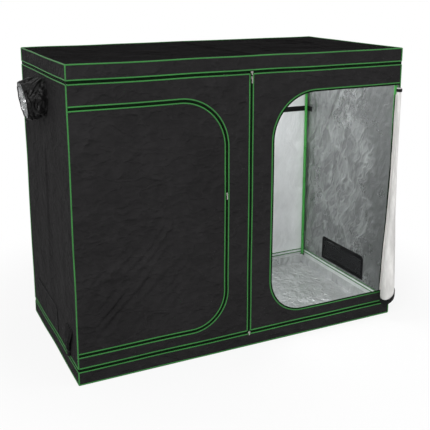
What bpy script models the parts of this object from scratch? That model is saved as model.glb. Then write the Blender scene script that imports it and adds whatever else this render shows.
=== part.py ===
"""An indoor grow tent: a tube frame in corner sockets, under a black cloth cover with green piping.

Metres, +Z up. The origin is on the floor at the middle of the base. +X runs along the width, to the
right as seen from the front, and the front faces -Y. The left door is zipped shut, and the right door
is rolled up and strapped at the right front corner.
"""

import math

import bmesh
import bpy
from mathutils import Matrix, Vector

COLLECTION_NAME = "grow_tent"

# Overall size, over the piping
TENT_WIDTH = 2.4
TENT_DEPTH = 1.2
TENT_HEIGHT = 2.0

# Clearance between pieces that touch, how far a cutter runs past what it cuts, and what counts as one point
GAP = 0.0003
OVERRUN = 0.001
MERGE = 0.00001
SHARP_ANGLE = math.radians(40)

# Cloth and the round piping sewn into its seams
CLOTH = 0.002
PIPING_RADIUS = 0.0045
PIPING_PROUD = 0.004
PIPING_TURN = 0.006
PIPING_END_INSET = 0.0006

# Frame tubes, and the sockets that join them
TUBE_RADIUS = 0.0125
TUBE_WALL = 0.001
TUBE_SIDES = 12
SOCKET_WALL = 0.0027
SOCKET_REACH = 0.060
SOCKET_STOP = 0.018
SOCKET_BLOCK = 0.0306
SOCKET_ROOT = 0.0002

# Zips: each has a bead of piping on either side, and one side carries the teeth
ROOF_BAND = 0.106
BASE_BAND = 0.102
ZIP_TO_BEAD = 0.013
ZIP_TAPE = 0.0068

# D-shaped door zips, measured at the zip from the other zips
DOOR_FROM_CENTRE = 0.174
DOOR_FROM_ROOF_ZIP = 0.153
DOOR_FROM_BASE_ZIP = 0.0975
DOOR_TOP_TURN = 0.317
DOOR_BOTTOM_TURN = 0.250
TURN_STEPS = 12
HINGE_INSET = 0.0007
HINGE_PROUD = 0.0005

# Zip sliders and their pulls
SLIDER_WIDTH = 0.012
SLIDER_LENGTH = 0.018
SLIDER_THICKNESS = 0.006
SLIDER_BEVEL = 0.0012
EAR_THICKNESS = 0.0012
EAR_HEIGHT = 0.006
EAR_PAST_PIN = 0.002
EAR_ROOT = 0.0005
PIN_RADIUS = 0.001
PIN_SIDES = 8
EYE_WIDTH = 0.006
EYE_RADIUS = 0.0026
EYE_HOLE_RADIUS = 0.0015
EYE_SIDES = 12
PULL_NECK_WIDTH = 0.0058
PULL_NECK_LENGTH = 0.0045
PULL_NECK_THICKNESS = 0.002
PULL_WIDTH = 0.008
PULL_LENGTH = 0.035
PULL_THICKNESS = 0.0018
SHORT_PULL_LENGTH = 0.019
DOOR_SLIDER_HEIGHT = 1.113
CENTRE_SLIDER_DROP = 0.036

# Hanging bars, with a clip over the front and back top rails
BAR_RADIUS = 0.008
BAR_FROM_CENTRE = 0.6
CLIP_WALL = 0.0025
CLIP_LENGTH = 0.020
CLIP_WRAP = math.radians(20)
CLIP_STEPS = 14

# Strap that hangs from the left bar, with its ladder-lock buckle
HANGER_WIDTH = 0.025
HANGER_THICKNESS = 0.0015
HANGER_LENGTH = 0.26
HANGER_TAIL = 0.06
HANGER_CLOSING = 0.004
HANGER_STEPS = 8
BUCKLE_WIDTH = 0.033
BUCKLE_HEIGHT = 0.028
BUCKLE_THICKNESS = 0.012
BUCKLE_SLOT_WIDTH = 0.027
BUCKLE_SLOT_HEIGHT = 0.006
BUCKLE_SLOT_SPACING = 0.011
BUCKLE_DROP = 0.17

# Flat strap across the back wall, which turns along the side walls
BAND_HEIGHT = 0.043
BAND_MIDDLE = 1.390
BAND_THICKNESS = 0.0032
BAND_RETURN = 0.080
BAND_CORNER = 0.006

# Floor tray, and how far the lowest bead stands off the floor
TRAY_WALL = 0.0015
TRAY_HEIGHT = 0.0777
FLOOR_BEAD_RISE = 0.001

# Round duct sleeve on the left wall, gathered by a drawcord in its hem
DUCT_HOLE_RADIUS = 0.115
SLEEVE_WALL_RADIUS = 0.125
SLEEVE_MOUTH_RADIUS = 0.119
SLEEVE_BULGE = 0.006
SLEEVE_LENGTH = 0.130
SLEEVE_TILT = math.radians(8)
SLEEVE_SAG = 0.015
SLEEVE_DRIFT = 0.010
SLEEVE_DEPTH = -0.020
SLEEVE_BELOW_TOP = 0.265
SLEEVE_GATHERS = 12
SLEEVE_GATHER_HEIGHT = 0.0045
SLEEVE_POINTS = 48
SLEEVE_RINGS = 7

# Drawcord ends that hang crossed below the sleeve's mouth, and their toggle
CORD_RADIUS = 0.0016
CORD_SPREAD_SHARE = 0.9
CORD_DROP = 0.034
TOGGLE_RADIUS = 0.0055
TOGGLE_LENGTH = 0.013
TOGGLE_SIDES = 10

# Low vents, each with a mesh inside and a flap outside that hinges at its bottom edge
VENT_WIDTH = 0.560
VENT_HEIGHT = 0.190
VENT_BOTTOM = 0.140
VENT_CORNER = 0.030
LEFT_VENT_DEPTH = 0.180
RIGHT_VENT_DEPTH = 0.010
VENT_HOLE_INSET = 0.030
VENT_MESH_LAP = 0.020
VENT_MESH_THICKNESS = 0.0015
CORNER_STEPS = 4

# Cable port: a limp cloth sock, tied shut near its end
PORT_FROM_FRONT = 0.195
PORT_TOP = 0.318
PORT_LENGTH = 0.195
PORT_WIDTH = 0.172
PORT_THICKNESS = 0.034
PORT_POINTS = 24
PORT_FOLDS = 7
PORT_FOLD_SHARE = 0.10
PORT_LEVEL_SHARES = (0.0, 0.10, 0.30, 0.55, 0.74, 0.86, 0.91, 1.0)
PORT_WIDTH_SHARES = (0.90, 1.0, 0.86, 0.56, 0.30, 0.13, 0.14, 0.30)
PORT_THICKNESS_SHARES = (0.16, 0.50, 0.90, 1.0, 0.85, 0.50, 0.52, 0.62)

# Right door, rolled up at the corner with its lining outwards
ROLL_TOP_RADIUS = 0.018
ROLL_BOTTOM_RADIUS = 0.0515
ROLL_TOP_DROP = 0.018
ROLL_BOTTOM_DROP = 0.050
ROLL_LEVEL_SHARES = (0.0, 0.08, 0.155, 0.27, 0.39, 0.51, 0.62, 0.80, 1.0)
ROLL_RADIUS_SHARES = (1.0, 1.0, 0.84, 0.62, 0.30, 0.15, 0.0, 0.0, 0.0)
ROLL_HEM_STEP = 0.005
ROLL_HEM_ANGLE = math.radians(148)
ROLL_POINTS = 22
ROLL_LOBES = 5
ROLL_LOBE_DEPTH = 0.0012
ROLL_LOBE_TWIST = math.radians(360)
SEAM_INSET = 0.0022
SEAM_FROM_STRAP = 0.010

# Strap round the foot of the roll, and the tie round its top
STRAP_HEIGHT = 0.038
STRAP_THICKNESS = 0.0018
STRAP_MIDDLE = 0.180
STRAP_TILT = 0.042
STRAP_LOW_ANGLE = math.radians(200)
TIE_HEIGHT = 0.022
TIE_BELOW_ROLL_TOP = 0.006
RING_STEPS = 24

# Places that follow from these
HALF_WIDTH = TENT_WIDTH / 2
HALF_DEPTH = TENT_DEPTH / 2
SOCKET_RADIUS = TUBE_RADIUS + GAP + SOCKET_WALL
COVER_X = HALF_WIDTH - PIPING_PROUD
COVER_Y = HALF_DEPTH - PIPING_PROUD
COVER_TOP = TENT_HEIGHT - PIPING_PROUD
PIPING_X = HALF_WIDTH - PIPING_RADIUS
PIPING_Y = HALF_DEPTH - PIPING_RADIUS
PIPING_TOP = TENT_HEIGHT - PIPING_RADIUS
PIPING_BOTTOM = PIPING_RADIUS + FLOOR_BEAD_RISE
FRAME_X = PIPING_X - PIPING_RADIUS - GAP - SOCKET_RADIUS
FRAME_Y = PIPING_Y - PIPING_RADIUS - GAP - SOCKET_RADIUS
FRAME_LOW = CLOTH + GAP + SOCKET_RADIUS
FRAME_HIGH = COVER_TOP - CLOTH - GAP - SOCKET_RADIUS
ROOF_ZIP = TENT_HEIGHT - ROOF_BAND
BASE_ZIP = BASE_BAND
CAP_BOTTOM = ROOF_ZIP - ZIP_TAPE
WALL_TOP = CAP_BOTTOM - GAP
SKIRT_TOP = BASE_ZIP + ZIP_TAPE
WALL_BOTTOM = SKIRT_TOP + GAP
LEAF_EDGE = PIPING_X - PIPING_RADIUS - GAP
HINGE_X = LEAF_EDGE - HINGE_INSET
HINGE_Y = -(HALF_DEPTH + HINGE_PROUD)
DOOR_TOP = ROOF_ZIP - DOOR_FROM_ROOF_ZIP
DOOR_BOTTOM = BASE_ZIP + DOOR_FROM_BASE_ZIP
ROLL_TOP = DOOR_TOP - ROLL_TOP_DROP
ROLL_BOTTOM = DOOR_BOTTOM - ROLL_BOTTOM_DROP
ROLL_RIGHT = HINGE_X - GAP
SLIDER_BACK = -(COVER_Y + GAP)
SLIDER_FRONT = SLIDER_BACK - SLIDER_THICKNESS
PIN_Y = SLIDER_FRONT - GAP - EYE_RADIUS
PORT_MIDDLE = PORT_FROM_FRONT - HALF_DEPTH

# Turns that stand a flat outline up: facing the front, or facing along the width
UPRIGHT_FRONT = Matrix(((1, 0, 0), (0, 0, -1), (0, 1, 0))).to_4x4()
UPRIGHT_SIDE = Matrix(((0, 0, 1), (1, 0, 0), (0, 1, 0))).to_4x4()

# Colours and surfaces: red, green, blue, roughness, metallic
SURFACES = {
    "black_cloth": (0.021, 0.021, 0.023, 0.80, 0.0),
    "roof_cloth": (0.012, 0.011, 0.012, 0.75, 0.0),
    "silver_lining": (0.62, 0.62, 0.63, 0.35, 0.3),
    "white_lining": (0.80, 0.79, 0.77, 0.45, 0.0),
    "black_webbing": (0.010, 0.010, 0.011, 0.85, 0.0),
    "black_mesh": (0.008, 0.008, 0.009, 0.90, 0.0),
    "green_tube": (0.045, 0.305, 0.045, 0.35, 0.0),
    "white_tube": (0.72, 0.72, 0.71, 0.30, 0.0),
    "black_plastic": (0.018, 0.018, 0.019, 0.50, 0.0),
    "zinc": (0.55, 0.55, 0.53, 0.32, 1.0),
    "cord": (0.03, 0.03, 0.03, 0.85, 0.0),
}


def clear_scene():
    for item in list(bpy.data.objects):
        bpy.data.objects.remove(item)


def make_collection():
    collection = bpy.data.collections.new(COLLECTION_NAME)
    bpy.context.scene.collection.children.link(collection)
    return collection


def make_materials():
    materials = {}
    for name, (red, green, blue, roughness, metallic) in SURFACES.items():
        material = bpy.data.materials.new(name)
        material.use_nodes = True
        shader = material.node_tree.nodes["Principled BSDF"]
        shader.inputs["Base Color"].default_value = (red, green, blue, 1)
        shader.inputs["Roughness"].default_value = roughness
        shader.inputs["Metallic"].default_value = metallic
        material.diffuse_color = (red, green, blue, 1)
        materials[name] = material
    return materials


clear_scene()
PARTS = make_collection()
MATERIALS = make_materials()


def add_object(name, mesh, place=None):
    """An object in the part's collection, standing at the matrix place."""
    item = bpy.data.objects.new(name, mesh)
    PARTS.objects.link(item)
    if place is not None:
        item.matrix_world = place
    return item


def apply_modifiers(item):
    """Makes what the modifiers or the curve settings give into the object's own mesh."""
    bpy.context.view_layer.update()
    graph = bpy.context.evaluated_depsgraph_get()
    mesh = bpy.data.meshes.new_from_object(item.evaluated_get(graph))
    if item.type != "MESH":
        solid = add_object(item.name, mesh, item.matrix_world.copy())
        name = item.name
        bpy.data.objects.remove(item)
        solid.name = name
        return solid
    item.modifiers.clear()
    item.data = mesh
    return item


def weld(item):
    """Joins the loose caps of what was a curve, and turns every face outwards."""
    shape = bmesh.new()
    shape.from_mesh(item.data)
    bmesh.ops.remove_doubles(shape, verts=shape.verts, dist=MERGE)
    bmesh.ops.recalc_face_normals(shape, faces=shape.faces)
    shape.to_mesh(item.data)
    shape.free()
    return item


def combine(item, others, operation="UNION"):
    """Joins the other solids to this one, or cuts them from it, and removes them."""
    for other in others:
        modifier = item.modifiers.new(operation.lower(), "BOOLEAN")
        modifier.operation = operation
        modifier.object = other
        apply_modifiers(item)
        bpy.data.objects.remove(other)
    return item


def thicken(item, thickness):
    """Gives an open surface a thickness, inwards from where its faces look."""
    modifier = item.modifiers.new("thickness", "SOLIDIFY")
    modifier.thickness = thickness
    modifier.offset = -1
    modifier.use_even_offset = True
    return apply_modifiers(item)


def finish(item, surface, smooth=True, parent=None):
    """Sets the material, the shading and the parent of a finished piece."""
    item.data.materials.clear()
    item.data.materials.append(MATERIALS[surface])
    if smooth:
        item.data.shade_smooth()
        item.data.set_sharp_from_angle(angle=SHARP_ANGLE)
    if parent is not None:
        bpy.context.view_layer.update()
        item.parent = parent
        item.matrix_parent_inverse = parent.matrix_world.inverted()
    return item


def pivot(name, position, parent=None):
    """An empty on a joint's axis, which carries what moves there."""
    empty = bpy.data.objects.new(name, None)
    PARTS.objects.link(empty)
    empty.location = position
    if parent is not None:
        bpy.context.view_layer.update()
        empty.parent = parent
        empty.matrix_parent_inverse = parent.matrix_world.inverted()
    return empty


def box(name, low, high):
    """A box between two corners, with its origin in its middle."""
    low, high = Vector(low), Vector(high)
    shape = bmesh.new()
    bmesh.ops.create_cube(shape, size=1, matrix=Matrix.Diagonal(high - low).to_4x4())
    mesh = bpy.data.meshes.new(name)
    shape.to_mesh(mesh)
    shape.free()
    return add_object(name, mesh, Matrix.Translation((low + high) / 2))


def open_box(name, half_x, half_y, low, high, opening, thickness):
    """A box that lacks its top (opening 1) or its bottom (opening -1), with walls of cloth or sheet."""
    size = Vector((half_x, half_y, (high - low) / 2)) * 2
    shape = bmesh.new()
    bmesh.ops.create_cube(shape, size=1, matrix=Matrix.Diagonal(size).to_4x4())
    shape.normal_update()
    lid = [face for face in shape.faces if face.normal.z * opening > 0.9]
    bmesh.ops.delete(shape, geom=lid, context="FACES_ONLY")
    mesh = bpy.data.meshes.new(name)
    shape.to_mesh(mesh)
    shape.free()
    item = add_object(name, mesh, Matrix.Translation((0, 0, (low + high) / 2)))
    return thicken(item, thickness)


def rod(name, start, end, radius, sides, length=None, cap_ends=True):
    """A round bar or an open pipe between two points, or of its own length midway, with a flat side up."""
    start, end = Vector(start), Vector(end)
    along = end - start
    shape = bmesh.new()
    bmesh.ops.create_cone(
        shape,
        cap_ends=cap_ends,
        segments=sides,
        radius1=radius,
        radius2=radius,
        depth=length or along.length,
        matrix=Matrix.Rotation(math.pi / sides, 4, "Z"),
    )
    mesh = bpy.data.meshes.new(name)
    shape.to_mesh(mesh)
    shape.free()
    turn = along.to_track_quat("Z", "Y").to_matrix().to_4x4()
    return add_object(name, mesh, Matrix.Translation((start + end) / 2) @ turn)


def sheet(name, outlines, thickness, place):
    """A flat sheet from closed outlines, the first one outside and the others its holes."""
    curve = bpy.data.curves.new(name, "CURVE")
    curve.dimensions = "2D"
    curve.fill_mode = "BOTH"
    curve.extrude = thickness / 2
    for outline in outlines:
        spline = curve.splines.new("POLY")
        spline.points.add(len(outline) - 1)
        for point, (x, y) in zip(spline.points, outline):
            point.co = (x, y, 0, 1)
        spline.use_cyclic_u = True
    return weld(apply_modifiers(add_object(name, curve, place)))


def cord(name, points, radius, closed=False, resolution=1):
    """A round cord or bead along points."""
    curve = bpy.data.curves.new(name, "CURVE")
    curve.dimensions = "3D"
    curve.bevel_depth = radius
    curve.bevel_resolution = resolution
    curve.use_fill_caps = True
    spline = curve.splines.new("POLY")
    spline.points.add(len(points) - 1)
    for point, position in zip(spline.points, points):
        point.co = (*position, 1)
    spline.use_cyclic_u = closed
    return weld(apply_modifiers(add_object(name, curve)))


def skin(name, rings, closed_ends):
    """A surface through rings of points, all with as many points, with flat ends or open ones."""
    shape = bmesh.new()
    rows = [[shape.verts.new(point) for point in ring] for ring in rings]
    for row, following in zip(rows, rows[1:]):
        for i in range(len(row)):
            j = (i + 1) % len(row)
            shape.faces.new((row[i], row[j], following[j], following[i]))
    if closed_ends:
        shape.faces.new(rows[0])
        shape.faces.new(rows[-1])
    bmesh.ops.recalc_face_normals(shape, faces=shape.faces)
    mesh = bpy.data.meshes.new(name)
    shape.to_mesh(mesh)
    shape.free()
    return add_object(name, mesh)


def arc(x, y, radius, start, end, steps):
    """Points on a round arc, from one angle to another."""
    angles = [start + (end - start) * i / steps for i in range(steps + 1)]
    return [(x + radius * math.cos(a), y + radius * math.sin(a)) for a in angles]


def rectangle(left, right, low, high):
    """The corners of a rectangle."""
    return [(left, low), (right, low), (right, high), (left, high)]


def rounded_path(points, radius, closed=False):
    """The path through points with its square corners turned on a small radius."""
    points = [Vector(point) for point in points]
    count = len(points)
    path = []
    for i, corner in enumerate(points):
        if not closed and i in (0, count - 1):
            path.append(corner)
            continue
        back = (points[i - 1] - corner).normalized() * radius
        ahead = (points[(i + 1) % count] - corner).normalized() * radius
        centre = corner + back + ahead
        path += [corner + back, centre - (back + ahead).normalized() * radius, corner + ahead]
    return path


def rectangle_loop(name, half_x, half_y, height):
    """A closed bead round the tent, level at one height."""
    corners = [(half_x, half_y), (-half_x, half_y), (-half_x, -half_y), (half_x, -half_y)]
    points = [(x, y, height) for x, y in corners]
    return cord(name, rounded_path(points, PIPING_TURN, True), PIPING_RADIUS, True)


def corner_beads(low, high):
    """The four upright beads between two heights."""
    corners = [(x, y) for x in (-PIPING_X, PIPING_X) for y in (-PIPING_Y, PIPING_Y)]
    return [cord("corner_bead", [(x, y, low), (x, y, high)], PIPING_RADIUS) for x, y in corners]


def door_path(side, offset):
    """The D of a door zip, moved outwards by offset: from its top at the corner to its bottom there."""
    top_x = DOOR_FROM_CENTRE + DOOR_TOP_TURN
    top_z = DOOR_TOP - DOOR_TOP_TURN
    bottom_x = DOOR_FROM_CENTRE + DOOR_BOTTOM_TURN
    bottom_z = DOOR_BOTTOM + DOOR_BOTTOM_TURN
    right, half, down = math.pi / 2, math.pi, math.pi * 1.5
    points = [(LEAF_EDGE, DOOR_TOP + offset)]
    points += arc(top_x, top_z, DOOR_TOP_TURN + offset, right, half, TURN_STEPS)
    points += arc(bottom_x, bottom_z, DOOR_BOTTOM_TURN + offset, half, down, TURN_STEPS)
    points.append((LEAF_EDGE, DOOR_BOTTOM - offset))
    return [(side * x, z) for x, z in points]


def front_place():
    """Where the cloth of the front lies."""
    return Matrix.Translation((0, -(COVER_Y - CLOTH / 2), 0)) @ UPRIGHT_FRONT


def door_bead(name, side, offset):
    """The piping along a door zip."""
    path = door_path(side, offset)
    inset = side * PIPING_END_INSET
    path[0] = (path[0][0] - inset, path[0][1])
    path[-1] = (path[-1][0] - inset, path[-1][1])
    return cord(name, [(x, -PIPING_Y, z) for x, z in path], PIPING_RADIUS)


# Frame


def make_tube(name, start, end):
    """A hollow frame tube between the centres of two joints, stopping inside their sockets."""
    length = (Vector(end) - Vector(start)).length - 2 * (SOCKET_STOP + GAP)
    item = rod(name, start, end, TUBE_RADIUS, TUBE_SIDES, length, cap_ends=False)
    return finish(thicken(item, TUBE_WALL), "green_tube")


def make_socket_mesh(name, arms):
    """A block with a socket along each arm, all bored to the same depth."""
    half = SOCKET_BLOCK / 2
    joint = box(name, (-half, -half, -half), (half, half, half))
    for arm in map(Vector, arms):
        stub = rod("stub", arm * (half - SOCKET_ROOT), arm * SOCKET_REACH, SOCKET_RADIUS, TUBE_SIDES)
        combine(joint, [stub])
    for arm in map(Vector, arms):
        past_end = arm * (SOCKET_REACH + OVERRUN)
        bore = rod("bore", arm * SOCKET_STOP, past_end, TUBE_RADIUS + GAP, TUBE_SIDES)
        combine(joint, [bore], "DIFFERENCE")
    finish(joint, "black_plastic")
    mesh = joint.data
    mesh.name = name
    bpy.data.objects.remove(joint)
    return mesh


def make_frame():
    joints = {}
    for level, height in (("base", FRAME_LOW), ("top", FRAME_HIGH)):
        for depth, y in (("front", -FRAME_Y), ("back", FRAME_Y)):
            joints[level, depth, "middle"] = Vector((0, y, height))
            for side, x in (("left", -FRAME_X), ("right", FRAME_X)):
                joints[level, depth, side] = Vector((x, y, height))
    for depth in ("front", "back"):
        make_tube(f"centre_post_{depth}", joints["base", depth, "middle"], joints["top", depth, "middle"])
        for side in ("left", "right"):
            make_tube(
                f"corner_post_{depth}_{side}", joints["base", depth, side], joints["top", depth, side]
            )
    for level, rail in (("base", "base_rail"), ("top", "top_rail")):
        for side in ("left", "right"):
            make_tube(f"{rail}_{side}", joints[level, "front", side], joints[level, "back", side])
            for depth in ("front", "back"):
                make_tube(
                    f"{rail}_{depth}_{side}", joints[level, depth, side], joints[level, depth, "middle"]
                )
    make_tube("ceiling_beam", joints["top", "front", "middle"], joints["top", "back", "middle"])

    corner = make_socket_mesh("corner_joint", [(1, 0, 0), (0, 1, 0), (0, 0, 1)])
    base_tee = make_socket_mesh("base_tee", [(1, 0, 0), (-1, 0, 0), (0, 0, 1)])
    top_tee = make_socket_mesh("top_tee", [(1, 0, 0), (-1, 0, 0), (0, 0, -1), (0, 1, 0)])
    flip = Matrix.Rotation(math.pi, 4, "X")
    base_turns = {("front", "left"): 0, ("front", "right"): 1, ("back", "right"): 2, ("back", "left"): 3}
    top_turns = {("back", "left"): 0, ("front", "left"): 1, ("front", "right"): 2, ("back", "right"): 3}
    for (depth, side), quarters in base_turns.items():
        turn = Matrix.Rotation(quarters * math.pi / 2, 4, "Z")
        place = Matrix.Translation(joints["base", depth, side]) @ turn
        add_object(f"base_corner_joint_{depth}_{side}", corner, place)
    for (depth, side), quarters in top_turns.items():
        turn = Matrix.Rotation(quarters * math.pi / 2, 4, "Z") @ flip
        place = Matrix.Translation(joints["top", depth, side]) @ turn
        add_object(f"top_corner_joint_{depth}_{side}", corner, place)
    for depth, half_turns in (("front", 0), ("back", 1)):
        turn = Matrix.Rotation(half_turns * math.pi, 4, "Z")
        for level, tee in (("base", base_tee), ("top", top_tee)):
            place = Matrix.Translation(joints[level, depth, "middle"]) @ turn
            add_object(f"{level}_tee_{depth}", tee, place)


def make_clip(name, x, y):
    """An open ring that sits over a top rail."""
    inner = TUBE_RADIUS + GAP
    start, end = -CLIP_WRAP, math.pi + CLIP_WRAP
    outline = arc(y, FRAME_HIGH, inner + CLIP_WALL, start, end, CLIP_STEPS)
    outline += arc(y, FRAME_HIGH, inner, end, start, CLIP_STEPS)
    return sheet(name, [outline], CLIP_LENGTH, Matrix.Translation((x, 0, 0)) @ UPRIGHT_SIDE)


def make_hanging_bar(side, x):
    """A bar from the front top rail to the back one, which slides along both."""
    reach = FRAME_Y - TUBE_RADIUS - GAP - CLIP_WALL / 2
    slide = pivot(f"hanging_bar_{side}_slide", (x, 0, FRAME_HIGH))
    bar = rod(
        f"hanging_bar_{side}", (x, -reach, FRAME_HIGH), (x, reach, FRAME_HIGH), BAR_RADIUS, TUBE_SIDES
    )
    combine(bar, [make_clip("clip", x, -FRAME_Y), make_clip("clip", x, FRAME_Y)])
    finish(bar, "white_tube", parent=slide)
    return slide


def make_hanging_strap(slide, x):
    """A loop of webbing over the left bar, drawn together by a ladder-lock buckle, with a loose tail."""
    reach = BAR_RADIUS + GAP + HANGER_THICKNESS / 2
    bottom = FRAME_HIGH - HANGER_LENGTH
    over = arc(0, FRAME_HIGH, reach, 0, math.pi, HANGER_STEPS)
    path = [(HANGER_CLOSING, bottom - HANGER_TAIL), (HANGER_CLOSING, bottom)]
    path += over + [(-HANGER_CLOSING, bottom)]
    half = HANGER_WIDTH / 2
    shape = bmesh.new()
    rows = [[shape.verts.new((x + offset, edge, z)) for edge in (-half, half)] for offset, z in path]
    for row, following in zip(rows, rows[1:]):
        shape.faces.new((row[0], row[1], following[1], following[0]))
    mesh = bpy.data.meshes.new("hanging_strap")
    shape.to_mesh(mesh)
    shape.free()
    strap = add_object("hanging_strap", mesh)
    modifier = strap.modifiers.new("thickness", "SOLIDIFY")
    modifier.thickness = HANGER_THICKNESS
    modifier.offset = 0
    modifier.use_even_offset = True
    apply_modifiers(strap)

    middle = FRAME_HIGH - BUCKLE_DROP
    half_width, half_height = BUCKLE_WIDTH / 2, BUCKLE_HEIGHT / 2
    outlines = [rectangle(-half_width, half_width, middle - half_height, middle + half_height)]
    for offset in (-BUCKLE_SLOT_SPACING / 2, BUCKLE_SLOT_SPACING / 2):
        low = middle + offset - BUCKLE_SLOT_HEIGHT / 2
        high = low + BUCKLE_SLOT_HEIGHT
        outlines.append(rectangle(-BUCKLE_SLOT_WIDTH / 2, BUCKLE_SLOT_WIDTH / 2, low, high))
    place = Matrix.Translation((x, 0, 0)) @ UPRIGHT_SIDE
    buckle = sheet("buckle", outlines, BUCKLE_THICKNESS, place)
    return finish(combine(strap, [buckle]), "black_webbing", smooth=False, parent=slide)


def make_back_band():
    """The flat strap inside the back wall, behind the posts, with its ends turned along the side walls."""
    outer_x, outer_y = COVER_X - CLOTH - GAP, COVER_Y - CLOTH - GAP
    inner_x, inner_y = outer_x - BAND_THICKNESS, outer_y - BAND_THICKNESS
    inner_corner = BAND_CORNER + BAND_THICKNESS * (math.sqrt(2) - 2)
    half = [
        (outer_x, outer_y - BAND_RETURN),
        (outer_x, outer_y - BAND_CORNER),
        (outer_x - BAND_CORNER, outer_y),
    ]
    half_inner = [
        (inner_x, outer_y - BAND_RETURN),
        (inner_x, inner_y - inner_corner),
        (inner_x - inner_corner, inner_y),
    ]
    outline = half + [(-x, y) for x, y in reversed(half)]
    outline += [(-x, y) for x, y in half_inner] + list(reversed(half_inner))
    place = Matrix.Translation((0, 0, BAND_MIDDLE))
    return finish(sheet("back_wall_band", [outline], BAND_HEIGHT, place), "black_webbing", smooth=False)


# Cover


def make_roof_cap():
    """The roof and the band below it, down to the zip round the top."""
    cap = open_box("roof_cap", COVER_X, COVER_Y, CAP_BOTTOM, COVER_TOP, -1, CLOTH)
    lower = ROOF_ZIP + ZIP_TO_BEAD
    beads = [rectangle_loop("roof_bead", PIPING_X, PIPING_Y, PIPING_TOP)]
    beads.append(rectangle_loop("band_bead", PIPING_X, PIPING_Y, lower))
    return finish(combine(cap, beads + corner_beads(lower, PIPING_TOP)), "roof_cloth")


def make_base_skirt():
    """The ground sheet and the band above it, up to the zip round the bottom."""
    skirt = open_box("base_skirt", COVER_X, COVER_Y, 0, SKIRT_TOP, 1, CLOTH)
    upper = BASE_ZIP - ZIP_TO_BEAD
    beads = [rectangle_loop("floor_bead", PIPING_X, PIPING_Y, PIPING_BOTTOM)]
    beads.append(rectangle_loop("skirt_bead", PIPING_X, PIPING_Y, upper))
    return finish(combine(skirt, beads + corner_beads(PIPING_BOTTOM, upper)), "black_cloth")


def make_floor_tray():
    """The loose tray on the floor, inside the base rails."""
    half_x = FRAME_X - SOCKET_RADIUS - GAP
    half_y = FRAME_Y - SOCKET_RADIUS - GAP
    low = CLOTH + GAP
    tray = open_box("floor_tray", half_x, half_y, low, low + TRAY_HEIGHT, 1, TRAY_WALL)
    return finish(tray, "silver_lining", smooth=False)


def rounded_rectangle(left, right, low, high, radius):
    """An outline with its top corners round and its bottom corners square."""
    points = [(left, low), (right, low)]
    points += arc(right - radius, high - radius, radius, 0, math.pi / 2, CORNER_STEPS)
    points += arc(left + radius, high - radius, radius, math.pi / 2, math.pi, CORNER_STEPS)
    return points


def vent_outline(middle, grow):
    """The outline of a vent's flap, grown or shrunk on every side."""
    half = VENT_WIDTH / 2 + grow
    low, high = VENT_BOTTOM - grow, VENT_BOTTOM + VENT_HEIGHT + grow
    return rounded_rectangle(middle - half, middle + half, low, high, VENT_CORNER + grow)


def make_side_wall(name, side, vent_middle, duct_hole):
    """A side wall with beads on all four edges, a hole for its vent and perhaps one for the duct."""
    outline = rectangle(-PIPING_Y, PIPING_Y, WALL_BOTTOM, WALL_TOP)
    holes = [vent_outline(vent_middle, CLOTH - VENT_HOLE_INSET)]
    if duct_hole:
        middle = TENT_HEIGHT - SLEEVE_BELOW_TOP
        circle = arc(SLEEVE_DEPTH, middle, DUCT_HOLE_RADIUS, 0, 2 * math.pi, SLEEVE_POINTS // 2)
        holes.append(circle[:-1])
    place = Matrix.Translation((side * (COVER_X - CLOTH / 2), 0, 0)) @ UPRIGHT_SIDE
    wall = sheet(name, [outline] + holes, CLOTH, place)
    low, high = BASE_ZIP + ZIP_TO_BEAD, ROOF_ZIP - ZIP_TO_BEAD
    points = [(side * PIPING_X, y, z) for y, z in rectangle(-PIPING_Y, PIPING_Y, low, high)]
    bead = cord("wall_bead", rounded_path(points, PIPING_TURN, True), PIPING_RADIUS, True)
    return finish(combine(wall, [bead]), "black_cloth")


def make_back_wall():
    """The back wall between the side walls, with a bead along its top and its bottom."""
    wall = box("wall_back", (-LEAF_EDGE, COVER_Y - CLOTH, WALL_BOTTOM), (LEAF_EDGE, COVER_Y, WALL_TOP))
    reach = LEAF_EDGE - PIPING_END_INSET
    beads = [
        cord("wall_bead", [(-reach, PIPING_Y, z), (reach, PIPING_Y, z)], PIPING_RADIUS)
        for z in (BASE_ZIP + ZIP_TO_BEAD, ROOF_ZIP - ZIP_TO_BEAD)
    ]
    return finish(combine(wall, beads), "black_cloth")


def make_front_panel(name, side, inner_edge, hinge):
    """One half of the front, cut out in a D for its door, with beads along its zips."""
    outline = [(inner_edge, WALL_TOP), (side * LEAF_EDGE, WALL_TOP)]
    outline += door_path(side, ZIP_TAPE + GAP)
    outline += [(side * LEAF_EDGE, WALL_BOTTOM), (inner_edge, WALL_BOTTOM)]
    panel = sheet(name, [outline], CLOTH, front_place())
    low, high = BASE_ZIP + ZIP_TO_BEAD, ROOF_ZIP - ZIP_TO_BEAD
    reach, middle = LEAF_EDGE - PIPING_END_INSET, ZIP_TO_BEAD
    corners = [(reach, high), (middle, high), (middle, low), (reach, low)]
    points = [(side * x, -PIPING_Y, z) for x, z in corners]
    edge_bead = cord("edge_bead", rounded_path(points, PIPING_TURN), PIPING_RADIUS)
    return finish(
        combine(panel, [edge_bead, door_bead("door_bead", side, ZIP_TO_BEAD)]), "black_cloth", parent=hinge
    )


def make_left_door(hinge):
    """The closed door, which carries the teeth of its zip, with a bead inside the zip."""
    door = sheet("door_left", [door_path(-1, ZIP_TAPE)], CLOTH, front_place())
    return finish(combine(door, [door_bead("door_bead", -1, -ZIP_TO_BEAD)]), "black_cloth", parent=hinge)


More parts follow.
